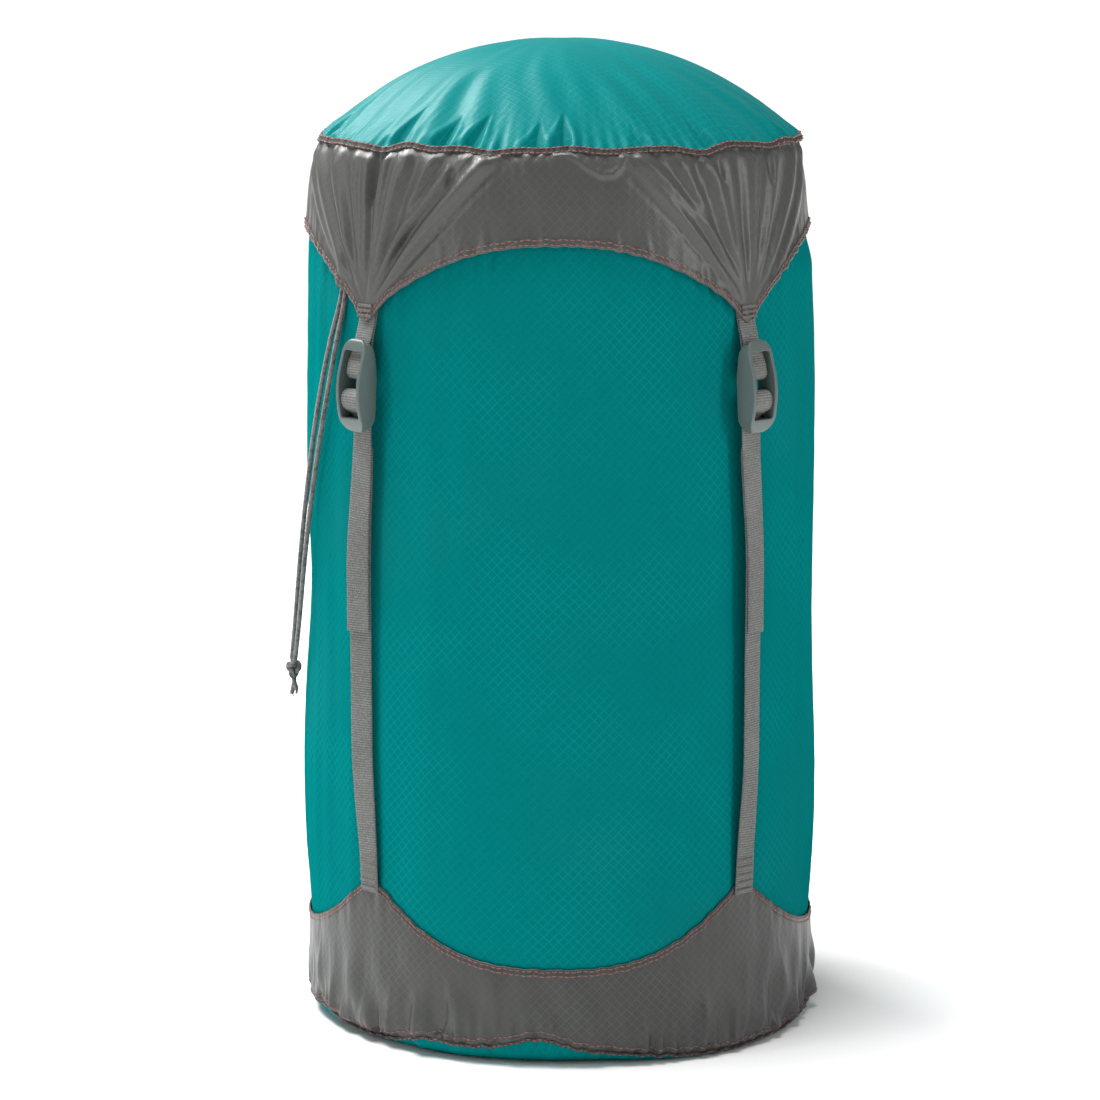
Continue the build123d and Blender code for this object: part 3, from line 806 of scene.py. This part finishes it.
def webbing(name, chain, strap, seed, width=WEB_WIDTH, thickness=WEB, sway=0.0, shift=0.0):
    """Ribbed webbing along a chain of (radius, height) points at one strap's angle.
    sway is how far it wanders from a straight line, towards the sack's flank; shift moves it back."""
    rng = np.random.default_rng(seed)
    outwards = -1.0 if strap in (1, 3) else 1.0
    rough = resample(smooth_chain(chain), 0.22)
    angle = math.radians(STRAP_ANGLES[strap])
    run = np.arange(len(rough)) * 0.22
    slack_part = step01((rough[:, 1] - 66) / 60) * step01((256 - rough[:, 1]) / 60)
    drift = outwards * (sway * slack_part - shift)
    drift = drift + 0.2 * slack_part * np.sin(run / 37.0 + rng.uniform(0, 6))
    toward = np.array([math.cos(angle), math.sin(angle)])
    across = np.array([-math.sin(angle), math.cos(angle)])
    flat = rough[:, :1] * toward + drift[:, None] * across
    line = np.concatenate([flat, rough[:, 1:]], 1)
    slope = np.gradient(rough, axis=0)
    normal = unit(np.stack([slope[:, 1], -slope[:, 0]], -1))
    out = np.concatenate([normal[:, :1] * toward, normal[:, 1:]], 1)
    twist = (TWIST[strap] if sway else 0.0) * slack_part[:, None]
    out = out * np.cos(twist) + np.append(across, 0.0) * np.sin(twist)
    rib = 0.5 + 0.5 * np.cos(run * TAU / 1.0)
    half = width / 2 * (0.985 + 0.015 * rib + 0.006 * np.sin(run / 5.3 + seed))
    deep = thickness / 2 * (0.72 + 0.28 * rib)
    x = np.array([-1, -0.94, -0.62, -0.2, 0.2, 0.62, 0.94, 1, 0.94, 0.62, 0.2, -0.2, -0.62, -0.94])
    y = np.array([0, 0.9, 1, 1, 1, 1, 0.9, 0, -0.9, -1, -1, -1, -1, -0.9])
    section = np.stack([half[:, None] * x, deep[:, None] * y], -1)
    return sweep(name, line, out, section)


def smooth_chain(chain):
    """Points along a smooth line through a chain of points (a Catmull-Rom spline)."""
    p = np.asarray(chain, float)
    p = np.concatenate([[2 * p[0] - p[1]], p, [2 * p[-1] - p[-2]]])
    t = np.linspace(0, 1, 12, endpoint=False)[:, None]
    parts = []
    for a, b, c, d in zip(p, p[1:], p[2:], p[3:]):
        square, cube = 2 * a - 5 * b + 4 * c - d, 3 * b - a - 3 * c + d
        parts.append(0.5 * (2 * b + (c - a) * t + square * t ** 2 + cube * t ** 3))
    return np.concatenate(parts + [p[-2:-1]])


def arc_chain(cx, cz, radius, start, stop):
    """Points along an arc, from one angle in degrees to another."""
    a = np.radians(np.linspace(start, stop, 11))
    return list(zip(cx + radius * np.cos(a), cz + radius * np.sin(a)))


leg_chain = [(106.9, LEG_LOW - 3.5), (107.35, 72), (107.3, 80), (107.4, 100), (107.6, 150), (LEG_R, 190),
             (LEG_R, 225), (LEG_R, 247)]
spare_chain = [(106.2, 188), (106.25, 200), (106.4, 225), (106.6, 245), (107.3, 256), (LEG_R, SPLIT)]
tail_chain = [(TAIL_R + 0.1, TAIL_LOW), (TAIL_R + 0.15, 200), (TAIL_R + 0.1, 230), (TAIL_R, SPLIT)]
wrap_r = LOCK_R + LOCK_DEEP / 2 + 0.3 + WEB / 2
lock_top = LOCK_Z + LOCK_TALL / 2
wrap_chain = [(LEG_R, SPLIT), (LEG_R, 262.0), (108.4, 265.2), (109.4, 267.7), (110.9, lock_top + 0.55),
              (112.6, lock_top + 1.15), (114.2, lock_top + 0.6), (115.25, lock_top - 0.7), (wrap_r, LOCK_Z),
              (115.35, LOCK_Z - 1.6), (114.7, LOCK_Z - 3.1), (113.6, LOCK_Z - 4.1), (112.2, LOCK_Z - 5.0),
              (110.9, LOCK_Z - 5.8), (109.9, LOCK_Z - 6.8), (TAIL_R, LOCK_Z - 8.0), (TAIL_R, SPLIT)]
tab_chain = ([(103.4, 316), (103.8, 309), (104.5, 301), (105.8, 295), (107.0, 290), (107.6, 285),
              (107.6, 281)]
             + arc_chain(BAR_R, BAR_Z, 2.6, 172, 378)
             + [(112.0, 280.9), (110.4, 284.3), (108.8, 288.5), (107.1, 293.5), (106.1, 297.5), (105.5, 301),
                (104.7, 309), (104.2, 314)])

straps = {}
for n in STRAP_ANGLES:
    straps[n] = {
        "leg": webbing(f"strap_leg_{n}_web", leg_chain, n, n, sway=SWAY),
        "spare": webbing(f"strap_slack_{n}_web", spare_chain, n, 10 + n, 7.4, 0.9, SWAY, -0.6),
        "tail": webbing(f"strap_tail_{n}_web", tail_chain, n, 20 + n, 10.4, sway=SWAY, shift=0.6),
        "wrap": webbing(f"strap_wrap_{n}_web", wrap_chain, n, 30 + n),
        "tab": webbing(f"lid_tab_{n}_web", tab_chain, n, 40 + n, 9.4, 0.8),
    }


# ---- bar tacks: a small block of zigzag thread ----
def bar_tack(name, strap, radius, low, high, width, rows, seed):
    """Zigzag rows of thread across a strap; radius is a function of the height."""
    rng = np.random.default_rng(seed)
    angle = math.radians(STRAP_ANGLES[strap])
    pieces = []
    toward = np.array([math.cos(angle), math.sin(angle), 0])
    across = np.array([-math.sin(angle), math.cos(angle), 0])
    up = np.array([0, 0, 1.0])
    for k in range(rows):
        z0 = low + (high - low) * k / (rows - 1)
        x = np.linspace(-width / 2, width / 2, 15)
        z = z0 + 0.55 * np.where(np.arange(15) % 2, 1, -1) + rng.uniform(-0.1, 0.1, 15)
        line = radius(z0) * toward + x[:, None] * across + z[:, None] * up
        line = resample(line, 0.35)
        pieces.append(sweep(f"{name}_{k}", line, np.broadcast_to(toward, line.shape), ellipse(0.42, 0.5, 6)))
    return pieces


base_tacks, lid_tacks = [], []
for n in STRAP_ANGLES:
    base_tacks += bar_tack(f"leg_tack_{n}", n, lambda z: 107.35 + 0.7, 66.5, 79.0, 8.6, 5, 60 + n)
    lid_tacks += bar_tack(f"tab_tack_{n}", n, lambda z: lid_profile(z) + 1.0, 299.2, 303.2, 7.8, 3, 70 + n)
base_tacks = join("leg_bar_tack_threads", base_tacks)
lid_tacks = join("tab_bar_tack_threads", lid_tacks)


# ---- buckles: the frame's edges rounded as moulded ones are ----
def moulded(name, node):
    """A copy of a CAD piece with its edges softened."""
    source = frame["nodes"][node]
    graph = bpy.context.evaluated_depsgraph_get()
    mesh = bpy.data.meshes.new_from_object(source.evaluated_get(graph))
    mesh.transform(source.matrix_world)
    obj = bpy.data.objects.new(name, mesh)
    bpy.context.scene.collection.objects.link(obj)
    add_modifier(obj, "REMESH", mode="VOXEL", voxel_size=0.32 * MM, use_smooth_shade=True)
    add_modifier(obj, "SMOOTH", factor=0.5, iterations=5)
    add_modifier(obj, "DECIMATE", ratio=0.4)
    apply_modifiers(obj)
    obj.data.polygons.foreach_set("use_smooth", np.full(len(obj.data.polygons), True))
    return obj


buckles = {n: moulded(f"buckle_{n}_moulding", f"buckle_frame_{n}") for n in STRAP_ANGLES}

# ---- drawcord ends: an overhand knot in both strands, and frayed tips ----
def knot_line():
    """One closed turn of a trefoil knot."""
    t = np.linspace(0, TAU, 90)
    x = np.sin(t) + 2 * np.sin(2 * t)
    y = np.cos(t) - 2 * np.cos(2 * t)
    z = -np.sin(3 * t) * 1.5
    return np.stack([x * 0.88, z * 0.95, y * 1.12], -1)[:-1]


def braided_ring(name, line, diameter):
    line = resample(line, 0.3, closed=True)
    count = len(line)
    along = np.arange(count) * TAU * round(count * 0.3 / PITCH) / count
    return sweep(name, line, line - line.mean(0), braid_section(along, diameter), closed=True)


knot_parts = []
for k, (spin, grow, size) in enumerate(((0.0, 1.0, 2.0), (0.55, 0.9, 1.9))):
    line = knot_line() * grow
    turned_line = np.stack([line[:, 0] * math.cos(spin) - line[:, 1] * math.sin(spin),
                            line[:, 0] * math.sin(spin) + line[:, 1] * math.cos(spin), line[:, 2]], -1)
    knot_parts.append(braided_ring(f"knot_turn_{k}", turned_line + KNOT, size))
for k, end in enumerate(((-112.4, -10.0, 133.0), (-110.2, -12.0, 134.6))):
    end = np.array(end)
    start = np.array(KNOT) + (0.0, 0.0, -1.0)
    bend = (start + end) / 2 + (0.5 * (1 - 2 * k), 0.4, 0)
    knot_parts.append(braided(f"knot_end_{k}", smooth_chain([start, bend, end]), 1.9))
    rng = np.random.default_rng(80 + k)
    for hair in range(22):
        a, spread, drop = rng.uniform(0, TAU), rng.uniform(0.2, 0.9), rng.uniform(0.8, 2.6)
        root = end + np.array([math.cos(a), math.sin(a), 0]) * 0.7 * spread + (0, 0, 0.5)
        point = root + (math.cos(a) * spread * 0.8, math.sin(a) * spread * 0.8, -drop)
        hair_line = smooth_chain([root, (root + point) / 2 + rng.uniform(-0.15, 0.15, 3), point])
        across = steady_normals(hair_line)
        knot_parts.append(sweep(f"fray_{k}_{hair}", hair_line, across, ellipse(0.16, 0.16, 5)))
for n, (strand, strand_line, length) in strands.items():
    neck = smooth_chain([strand_line[-1] + (0, 0, 0.6), strand_line[-1], (strand_line[-1] + KNOT) / 2, KNOT])
    knot_parts.append(braided(f"knot_neck_{n}", neck, 1.96))
knot = join("drawcord_knot_tied", knot_parts)

# The drawcord's loop in its hem, and the two ends that rise from it to where the strands start.
HEM_R, HEM_Z = 12.6, 383.5
RISE = [(-HEM_R, HEM_Z), (-HEM_R, HEM_Z + 1.6), (-12.5, 386.3), HIDDEN[0]]
loop_parts = [braided_ring("loop_ring", turned_grid(HEM_R, around(200), HEM_Z), CORD)]
for side in (-CORD_SIDE, CORD_SIDE):
    rise = [np.array(polar(r, CORD_ANGLE, z, side)) for r, z in RISE]
    loop_parts.append(braided(f"loop_rise_{side}", smooth_chain(rise), CORD))
cord_loop = join("drawcord_loop_braid", loop_parts)

# ---- gathered mouth under the lid ----
gather = waves(20, 6, (26, 40), (0, 0.1))
fine_gather = waves(21, 6, (50, 84), (0, 0.1))
collar_profile = smooth_profile([(10, 382.8), (13.2, 382.5), (38, 379), (65, 369), (88, 357),
                                 (97.5, 346.3), (100, 343)], 8)
COLLAR_OUT, COLLAR_IN = 97.4, 14.6      # radii of the collar's edges: at the tube's top, and at the hem
phi = around(520)[None]
share = np.linspace(0, 1, 90)[:, None]
radius = COLLAR_OUT + (COLLAR_IN - COLLAR_OUT) * share
gathers = 0.9 * gather(phi + 0.3 * share, 0.0) + 0.8 * fine_gather(phi, 0.0) * share
height = collar_profile(radius) + gathers * step01(share * 1.2)
height = height - 0.6 * step01((share - 0.93) / 0.07)
sewn_on = step01(1 - share / 0.07)
radius = radius + (tube_radius(phi, TUBE_TOP) + 0.1 - radius) * sewn_on
height = height + (TUBE_TOP - 0.3 - height) * sewn_on
points = turned_grid(radius, phi, height)
collar = ring_object("mouth_collar_gathers", points, wrapped_uv(points, 60.0, radius + 0 * phi))

phi = around(240)[:, None]
roll = around(16)
pinch = 0.22 * gather(phi, 0.0) + 0.16 * fine_gather(phi, 0.0)
hem_r = 2.35 + pinch
hem_points = turned_grid(HEM_R + hem_r * np.cos(roll), phi, HEM_Z + hem_r * np.sin(roll))
faces, r, c = grid_faces(241, 16)
hem_faces = (r % 240) * 16 + c % 16
hem = mesh_object("drawcord_hem_gathers", hem_points.reshape(-1, 3), [hem_faces[:, ::-1]],
                  np.stack([c * 0.9, r * 0.33], -1)[:, ::-1].reshape(-1, 2))

# ---- stuffed load: lumpy, just inside the cloth ----
INSIDE = 3.3        # the load's distance in from the flat bottom and its edge
phi = around(160)[None]
side_z = np.linspace(22, 346, 90)[:, None]
side_r = tube_radius(phi, side_z) - 2.4 - 0.9 * (1 + soft_lumps(phi, side_z)) * step01((346 - side_z) / 40)
low_z = INSIDE + 17.5 * np.linspace(0, 1, 22)[:, None] ** 2 + 0 * phi
low_r = base_radius(phi, low_z - INSIDE) - INSIDE + 0.8 * step01((low_z - INSIDE) / 10)
cap = np.linspace(0.04, 1, 40)[:, None]
cap_r = side_r[-1:] * (1 - cap) + 5 * cap
cap_z = np.minimum(collar_profile(cap_r) - 4.2 - 0.8 * (1 + soft_lumps(phi, 300 * cap)), 378.5)
floor_share = np.linspace(0.06, 0.95, 12)[:, None]
points = np.concatenate([turned_grid((foot_flat(phi) - INSIDE) * floor_share, phi, INSIDE),
                         turned_grid(low_r, phi, low_z), turned_grid(side_r, phi, side_z),
                         turned_grid(cap_r, phi, cap_z)])
rows_count, cols = points.shape[:2]
faces, _, _ = grid_faces(rows_count, cols)
ends = [np.arange(cols)[None, ::-1], (rows_count - 1) * cols + np.arange(cols)[None]]
load = mesh_object("stuffed_load_filling", points.reshape(-1, 3), [faces] + ends)


# ---- materials ----
class Finish:
    """A material with a Principled shader, and short ways to add nodes to it."""

    def __init__(self, name, roughness=0.5, **sockets):
        self.material = bpy.data.materials.new(name)
        self.material.use_nodes = True
        self.tree = self.material.node_tree
        self.shader = self.tree.nodes["Principled BSDF"]
        self.shader.inputs["Roughness"].default_value = roughness
        for socket, value in sockets.items():
            self.shader.inputs[socket.replace("_", " ")].default_value = value

    def put(self, socket, value):
        if isinstance(value, bpy.types.NodeSocket):
            self.tree.links.new(value, socket)
        else:
            socket.default_value = value

    def node(self, kind, output=0, inputs=(), **settings):
        node = self.tree.nodes.new(kind)
        for key, value in settings.items():
            setattr(node, key, value)
        for key, value in dict(inputs).items():
            self.put(node.inputs[key], value)
        return node.outputs[output]

    def math(self, operation, a, b=0.0, c=0.0):
        return self.node("ShaderNodeMath", 0, {0: a, 1: b, 2: c}, operation=operation)

    def part(self, value, share):
        return self.math("MULTIPLY", value, share)

    def mix(self, share, a, b):
        return self.node("ShaderNodeMix", 2, {0: share, 6: a, 7: b}, data_type="RGBA")

    def noise(self, scale, detail, roughness=0.5):
        """Noise by the object's own coordinates."""
        place = self.node("ShaderNodeTexCoord", 3)
        inputs = {"Scale": scale, "Detail": detail, "Roughness": roughness, "Vector": place}
        return self.node("ShaderNodeTexNoise", 0, inputs)

    def smooth(self, value, low, high, out_low=0.0, out_high=1.0):
        return self.node("ShaderNodeMapRange", 0, {0: value, 1: low, 2: high, 3: out_low, 4: out_high},
                         interpolation_type="SMOOTHSTEP")

    def bump(self, height, distance, strength):
        return self.node("ShaderNodeBump", 0, {"Height": height, "Distance": distance, "Strength": strength})

    def weave(self):
        """The piece's weave coordinates, in millimetres: across, and along."""
        split = self.tree.nodes.new("ShaderNodeSeparateXYZ")
        self.tree.links.new(self.node("ShaderNodeUVMap", uv_map="weave"), split.inputs[0])
        return split.outputs[0], split.outputs[1]

    def wire(self, **links):
        for socket, value in links.items():
            self.put(self.shader.inputs[socket.replace("_", " ")], value)
        return self.material


def tone(colour, factor, lift=0.0):
    """A lighter or darker version of a colour."""
    return [min(1, factor * c + lift) for c in colour[:3]] + [1.0]


def ripstop(name, colour, light, raised, gloss, shine, tint, worn, line_share):
    """Woven nylon with a grid of thicker threads that runs as diamonds."""
    f = Finish(name, gloss, Specular_IOR_Level=shine, Specular_Tint=tint)
    u, v = f.weave()
    wander = f.math("MULTIPLY_ADD", f.noise(60.0, 1.0), 1.4, -0.7)
    lines = []
    for sign in (1.0, -1.0):
        diagonal = f.math("ADD", f.math("MULTIPLY_ADD", v, sign, u), wander)
        turns = f.math("FRACT", f.math("DIVIDE", diagonal, DIAMOND))
        off = f.math("SUBTRACT", 0.5, f.math("ABSOLUTE", f.math("SUBTRACT", turns, 0.5)))
        lines.append(f.smooth(off, 0.03, 0.11, 1.0, 0.0))
    grid = f.math("MAXIMUM", *lines)
    threads = f.noise(2600.0, 1.0)
    cloud = f.noise(22.0, 3.0)
    patch = f.smooth(cloud, 0.36, 0.66, 0.25, 1.0)
    dust = f.smooth(f.noise(9.0, 4.0), 0.5, 0.75)
    shade = f.mix(f.part(grid, f.part(patch, line_share)), colour, light)
    dusty = f.mix(f.part(dust, worn), shade, tone(colour, 0.5, 0.16))
    grain = f.mix(f.part(threads, 0.16), dusty, tone(colour, 0.72))
    rough = f.math("ADD", f.math("MULTIPLY_ADD", cloud, 0.12, gloss - 0.08), f.part(threads, 0.06))
    height = f.math("ADD", f.part(grid, raised), f.part(threads, 0.6))
    normal = f.bump(height, 0.00006, 0.8)
    return f.wire(Base_Color=grain, Roughness=rough, Normal=normal)


def woven_band(name, colour, dark, rib):
    """Webbing and folded seam strips: the yarn's mottle, and painted shade in the grooves between the mesh's
    ribs.
    """
    f = Finish(name, 0.72, Specular_IOR_Level=0.3)
    fine = f.noise(1900.0, 2.0)
    broad = f.noise(70.0, 3.0)
    shade = f.mix(f.smooth(fine, 0.35, 0.7), dark, colour)
    shade = f.mix(f.part(f.smooth(broad, 0.45, 0.75), 0.25), shade, tone(colour, 1.25))
    turns = f.math("FRACT", f.math("DIVIDE", f.weave()[1], rib))
    # painted shade: the colour darkens towards a third in the grooves between the ribs, where shade falls
    groove_shade = f.smooth(f.math("ABSOLUTE", f.math("SUBTRACT", turns, 0.5)), 0.06, 0.3, 1.0, 0.0)
    shade = f.mix(f.part(groove_shade, 0.55), shade, tone(colour, 0.3))
    return f.wire(Base_Color=shade, Normal=f.bump(fine, 0.00012, 0.9))


def moulded_plastic(name, colour, gloss):
    f = Finish(name, gloss, Specular_IOR_Level=0.5)
    orange_peel = f.noise(900.0, 2.0)
    scuff = f.smooth(f.noise(130.0, 5.0, roughness=0.7), 0.58, 0.74)
    shade = f.mix(f.part(scuff, 0.18), colour, tone(colour, 1.5, 0.03))
    rough = f.math("MULTIPLY_ADD", scuff, 0.2, f.math("MULTIPLY_ADD", orange_peel, 0.08, gloss - 0.04))
    return f.wire(Base_Color=shade, Roughness=rough, Normal=f.bump(orange_peel, 0.00003, 0.5))


def thread(name, colour):
    f = Finish(name, 0.6, Sheen_Weight=0.3)
    twist = f.noise(4200.0, 1.0)
    cloud = f.noise(160.0, 2.0)
    shade = f.mix(f.part(twist, 0.5), colour, tone(colour, 0.55))
    shade = f.mix(f.part(f.smooth(cloud, 0.4, 0.7), 0.3), shade, tone(colour, 1.3))
    return f.wire(Base_Color=shade, Normal=f.bump(twist, 0.00005, 0.8))


def braid_yarn(name, colour, fleck):
    f = Finish(name, 0.68, Sheen_Weight=0.3)
    fine = f.noise(2400.0, 2.0)
    bits = f.noise(520.0, 2.0)
    shade = f.mix(f.smooth(bits, 0.5, 0.62), colour, fleck)
    shade = f.mix(f.part(fine, 0.45), shade, tone(colour, 0.4))
    return f.wire(Base_Color=shade, Normal=f.bump(fine, 0.0001, 0.9))


def steel(name):
    f = Finish(name, 0.3, Metallic=1.0)
    drawn = f.noise(1500.0, 2.0)
    return f.wire(Base_Color=f.mix(drawn, (0.42, 0.42, 0.43, 1), (0.62, 0.62, 0.63, 1)),
                  Roughness=f.math("MULTIPLY_ADD", drawn, 0.2, 0.2))


def soft_filling(name):
    f = Finish(name, 0.85, Sheen_Weight=0.3)
    cloud = f.noise(25.0, 4.0)
    fine = f.noise(1200.0, 2.0)
    shade = f.mix(cloud, (0.05, 0.06, 0.08, 1), (0.11, 0.12, 0.15, 1))
    return f.wire(Base_Color=shade, Normal=f.bump(f.math("ADD", f.part(cloud, 6.0), fine), 0.0003, 0.7))


TEAL = (0.001, 0.160, 0.161, 1.0)
TEAL_LIGHT = (0.003, 0.27, 0.272, 1.0)
GREY = (0.060, 0.062, 0.058, 1.0)
GREY_LIGHT = (0.125, 0.125, 0.117, 1.0)
# painted shade: a darker copy of the grey ripstop's colour for the bottom yoke, standing for the shade low
# on the sack
GREY_SHADED = (0.040, 0.042, 0.040, 1.0)
TEAL_TINT = (0.1, 1.0, 1.0, 1.0)
DOME_TINT = (0.12, 1.0, 1.0, 1.0)
GREY_TINT = (1.0, 1.0, 0.97, 1.0)
DIAMOND = 4.0       # width in millimetres of the diamonds in the ripstop's grid

# Each ripstop: colour, colour of its grid, how far the grid is raised, roughness, shine and its tint, and
# how much of it is dusty and how much the grid shows.
RIPSTOPS = {
    "teal_ripstop": (TEAL, TEAL_LIGHT, 1.0, 0.45, 0.0, TEAL_TINT, 0.02, 0.44),
    "teal_ripstop_dome": (TEAL, TEAL_LIGHT, 1.0, 0.4, 0.09, DOME_TINT, 0.02, 0.4),
    "grey_ripstop": (GREY, GREY_LIGHT, 0.6, 0.36, 0.5, GREY_TINT, 0.03, 0.2),
    # painted shade: the bottom yoke's copy of the grey ripstop is darker, standing for the shade low on the
    # sack
    "grey_ripstop_base_shaded": (GREY_SHADED, GREY_LIGHT, 0.6, 0.38, 0.4, GREY_TINT, 0.03, 0.25),
}
MATERIALS = {name: ripstop(name, *look) for name, look in RIPSTOPS.items()}
MATERIALS.update({
    "seam_tape": woven_band("seam_tape", (0.07, 0.062, 0.058, 1), (0.04, 0.036, 0.034, 1), 1.9),
    "thread": thread("thread", (0.22, 0.078, 0.066, 1)),
    "tack_thread": thread("tack_thread", (0.15, 0.14, 0.125, 1)),
    "webbing": woven_band("webbing", (0.228, 0.233, 0.222, 1), (0.12, 0.124, 0.12, 1), 1.0),
    "drawcord": braid_yarn("drawcord", (0.16, 0.155, 0.15, 1), (0.06, 0.06, 0.063, 1)),
    "filling": soft_filling("filling"),
    "buckle_plastic": moulded_plastic("buckle_plastic", (0.082, 0.112, 0.106, 1), 0.4),
    "lock_plastic": moulded_plastic("lock_plastic", (0.012, 0.012, 0.013, 1), 0.35),
    "spring_steel": steel("spring_steel"),
})


def finish(obj, slot, body, *nodes, look=None):
    """Gives a piece its material, hides the CAD nodes it stands for and attaches it to the body it rides on.
    A piece that bends between two bodies names both, and the heights in metres of the bend's two ends; these
    bodies and heights are not used, and the piece is only baked in place."""
    paint(obj, MATERIALS[look or slot])
    if nodes:
        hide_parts(*nodes)
    if isinstance(body, str):
        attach(obj, body)
    else:
        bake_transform(obj)
    return obj


for skirt in (lid_yoke, bottom_yoke):
    give_thickness(skirt, 0.45)

finish(tube, "teal_ripstop", ("base", "upper", 0.075, 0.300), "body_tube")
# painted shade: the bottom yoke takes the darker copy of the grey ripstop
finish(bottom_yoke, "grey_ripstop", "base", "bottom_yoke", look="grey_ripstop_base_shaded")
finish(bottom_disc, "teal_ripstop", "base", "bottom_disc")
finish(bottom_seam, "seam_tape", "base", "bottom_seam")
finish(base_thread, "thread", "base")
finish(base_tacks, "thread", "base", "leg_bar_tacks", look="tack_thread")
finish(load, "filling", ("base", "upper", 0.070, 0.300), "stuffed_load")
finish(lid_yoke, "grey_ripstop", "lid", "lid_yoke")
finish(dome, "teal_ripstop", "lid", "lid_dome", look="teal_ripstop_dome")
finish(lid_seam, "seam_tape", "lid", "lid_seam")
finish(lid_thread, "thread", "lid")
finish(lid_tacks, "thread", "lid", "tab_bar_tacks", look="tack_thread")
finish(collar, "teal_ripstop", "upper", "mouth_collar")
finish(hem, "teal_ripstop", "upper", "drawcord_hem")
finish(cord_loop, "drawcord", "upper", "drawcord_loop")
finish(knot, "drawcord", "upper", "drawcord_knot")
for n, parts in straps.items():
    finish(parts["leg"], "webbing", ("base", "upper", 0.082, 0.245), f"strap_leg_{n}")
    finish(parts["spare"], "webbing", ("lid", f"buckle_{n}", 0.232, 0.2565))
    finish(parts["tail"], "webbing", ("lid", f"buckle_{n}", 0.220, 0.2565), f"strap_tail_{n}")
    finish(parts["wrap"], "webbing", f"buckle_{n}", f"strap_wrap_{n}")
    finish(parts["tab"], "webbing", ("lid", f"buckle_{n}", 0.296, 0.282), f"lid_tab_{n}")
    finish(buckles[n], "buckle_plastic", f"buckle_{n}", f"buckle_frame_{n}")
for n, (strand, line, length) in strands.items():
    finish(strand, "drawcord", "upper", f"drawcord_strand_{n}")

LOCK_SLOTS = {"cord_lock_barrel": "lock_plastic", "cord_lock_plunger": "lock_plastic",
              "cord_lock_spring": "spring_steel"}
for node, slot in LOCK_SLOTS.items():
    part = frame["nodes"][node]
    paint(part, MATERIALS[slot])
    add_modifier(part, "BEVEL", width=0.25 * MM, segments=2, limit_method="ANGLE")
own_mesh(frame["nodes"]["cord_lock_spring"])

# ---- floor and light ----
floor_mesh = bpy.data.meshes.new("floor")
floor_mesh.from_pydata([(-20, -20, 0), (20, -20, 0), (20, 20, 0), (-20, 20, 0)], [], [(0, 1, 2, 3)])
floor = bpy.data.objects.new("floor", floor_mesh)
bpy.context.scene.collection.objects.link(floor)
floor_finish = Finish("floor", 0.9, Specular_IOR_Level=0.1)
paint(floor, floor_finish.wire(Base_Color=(0.93, 0.93, 0.93, 1.0)))


def aim(lamp, place, target):
    lamp.location = place
    lamp.rotation_euler = (Vector(target) - Vector(place)).to_track_quat("-Z", "Y").to_euler()
    bpy.context.scene.collection.objects.link(lamp)
    return lamp


def soft_light(name, place, target, size, power):
    data = bpy.data.lights.new(name, "AREA")
    data.shape = "RECTANGLE"
    data.size, data.size_y = size
    data.energy = power
    return aim(bpy.data.objects.new(name, data), place, target)


sun = bpy.data.lights.new("overhead", "SUN")
sun.energy = 3.2
sun.angle = math.radians(30)
aim(bpy.data.objects.new("overhead", sun), (-0.45, -0.2, 2.4), (0, 0, 0))
soft_light("left", (-1.5, -0.8, 0.75), (0, 0, 0.24), (0.3, 1.1), 5.5)
soft_light("right", (1.5, -0.75, 0.65), (0, 0, 0.24), (0.25, 1.1), 8.4)
soft_light("back", (-0.75, 0.8, 1.25), (-0.04, 0, 0.39), (0.7, 0.4), 15.0)
soft_light("top", (-0.46, 0.16, 0.96), (-0.05, 0, 0.39), (0.4, 0.4), 5.8)

SKY_LIGHT = 0.22
world = bpy.data.worlds.new("studio")
world.use_nodes = True
# The sky is white where it is seen past the floor, and dim where it lights the sack.
sky = world.node_tree.nodes["Background"]
sky.inputs[0].default_value = (1.0, 1.0, 1.0, 1.0)
seen = world.node_tree.nodes.new("ShaderNodeLightPath")
strength = world.node_tree.nodes.new("ShaderNodeMath")
strength.operation = "MULTIPLY_ADD"
strength.inputs[1].default_value = 1.0 - SKY_LIGHT
strength.inputs[2].default_value = SKY_LIGHT
world.node_tree.links.new(seen.outputs["Is Camera Ray"], strength.inputs[0])
world.node_tree.links.new(strength.outputs[0], sky.inputs[1])
bpy.context.scene.world = world
bpy.context.scene.view_settings.view_transform = "Standard"
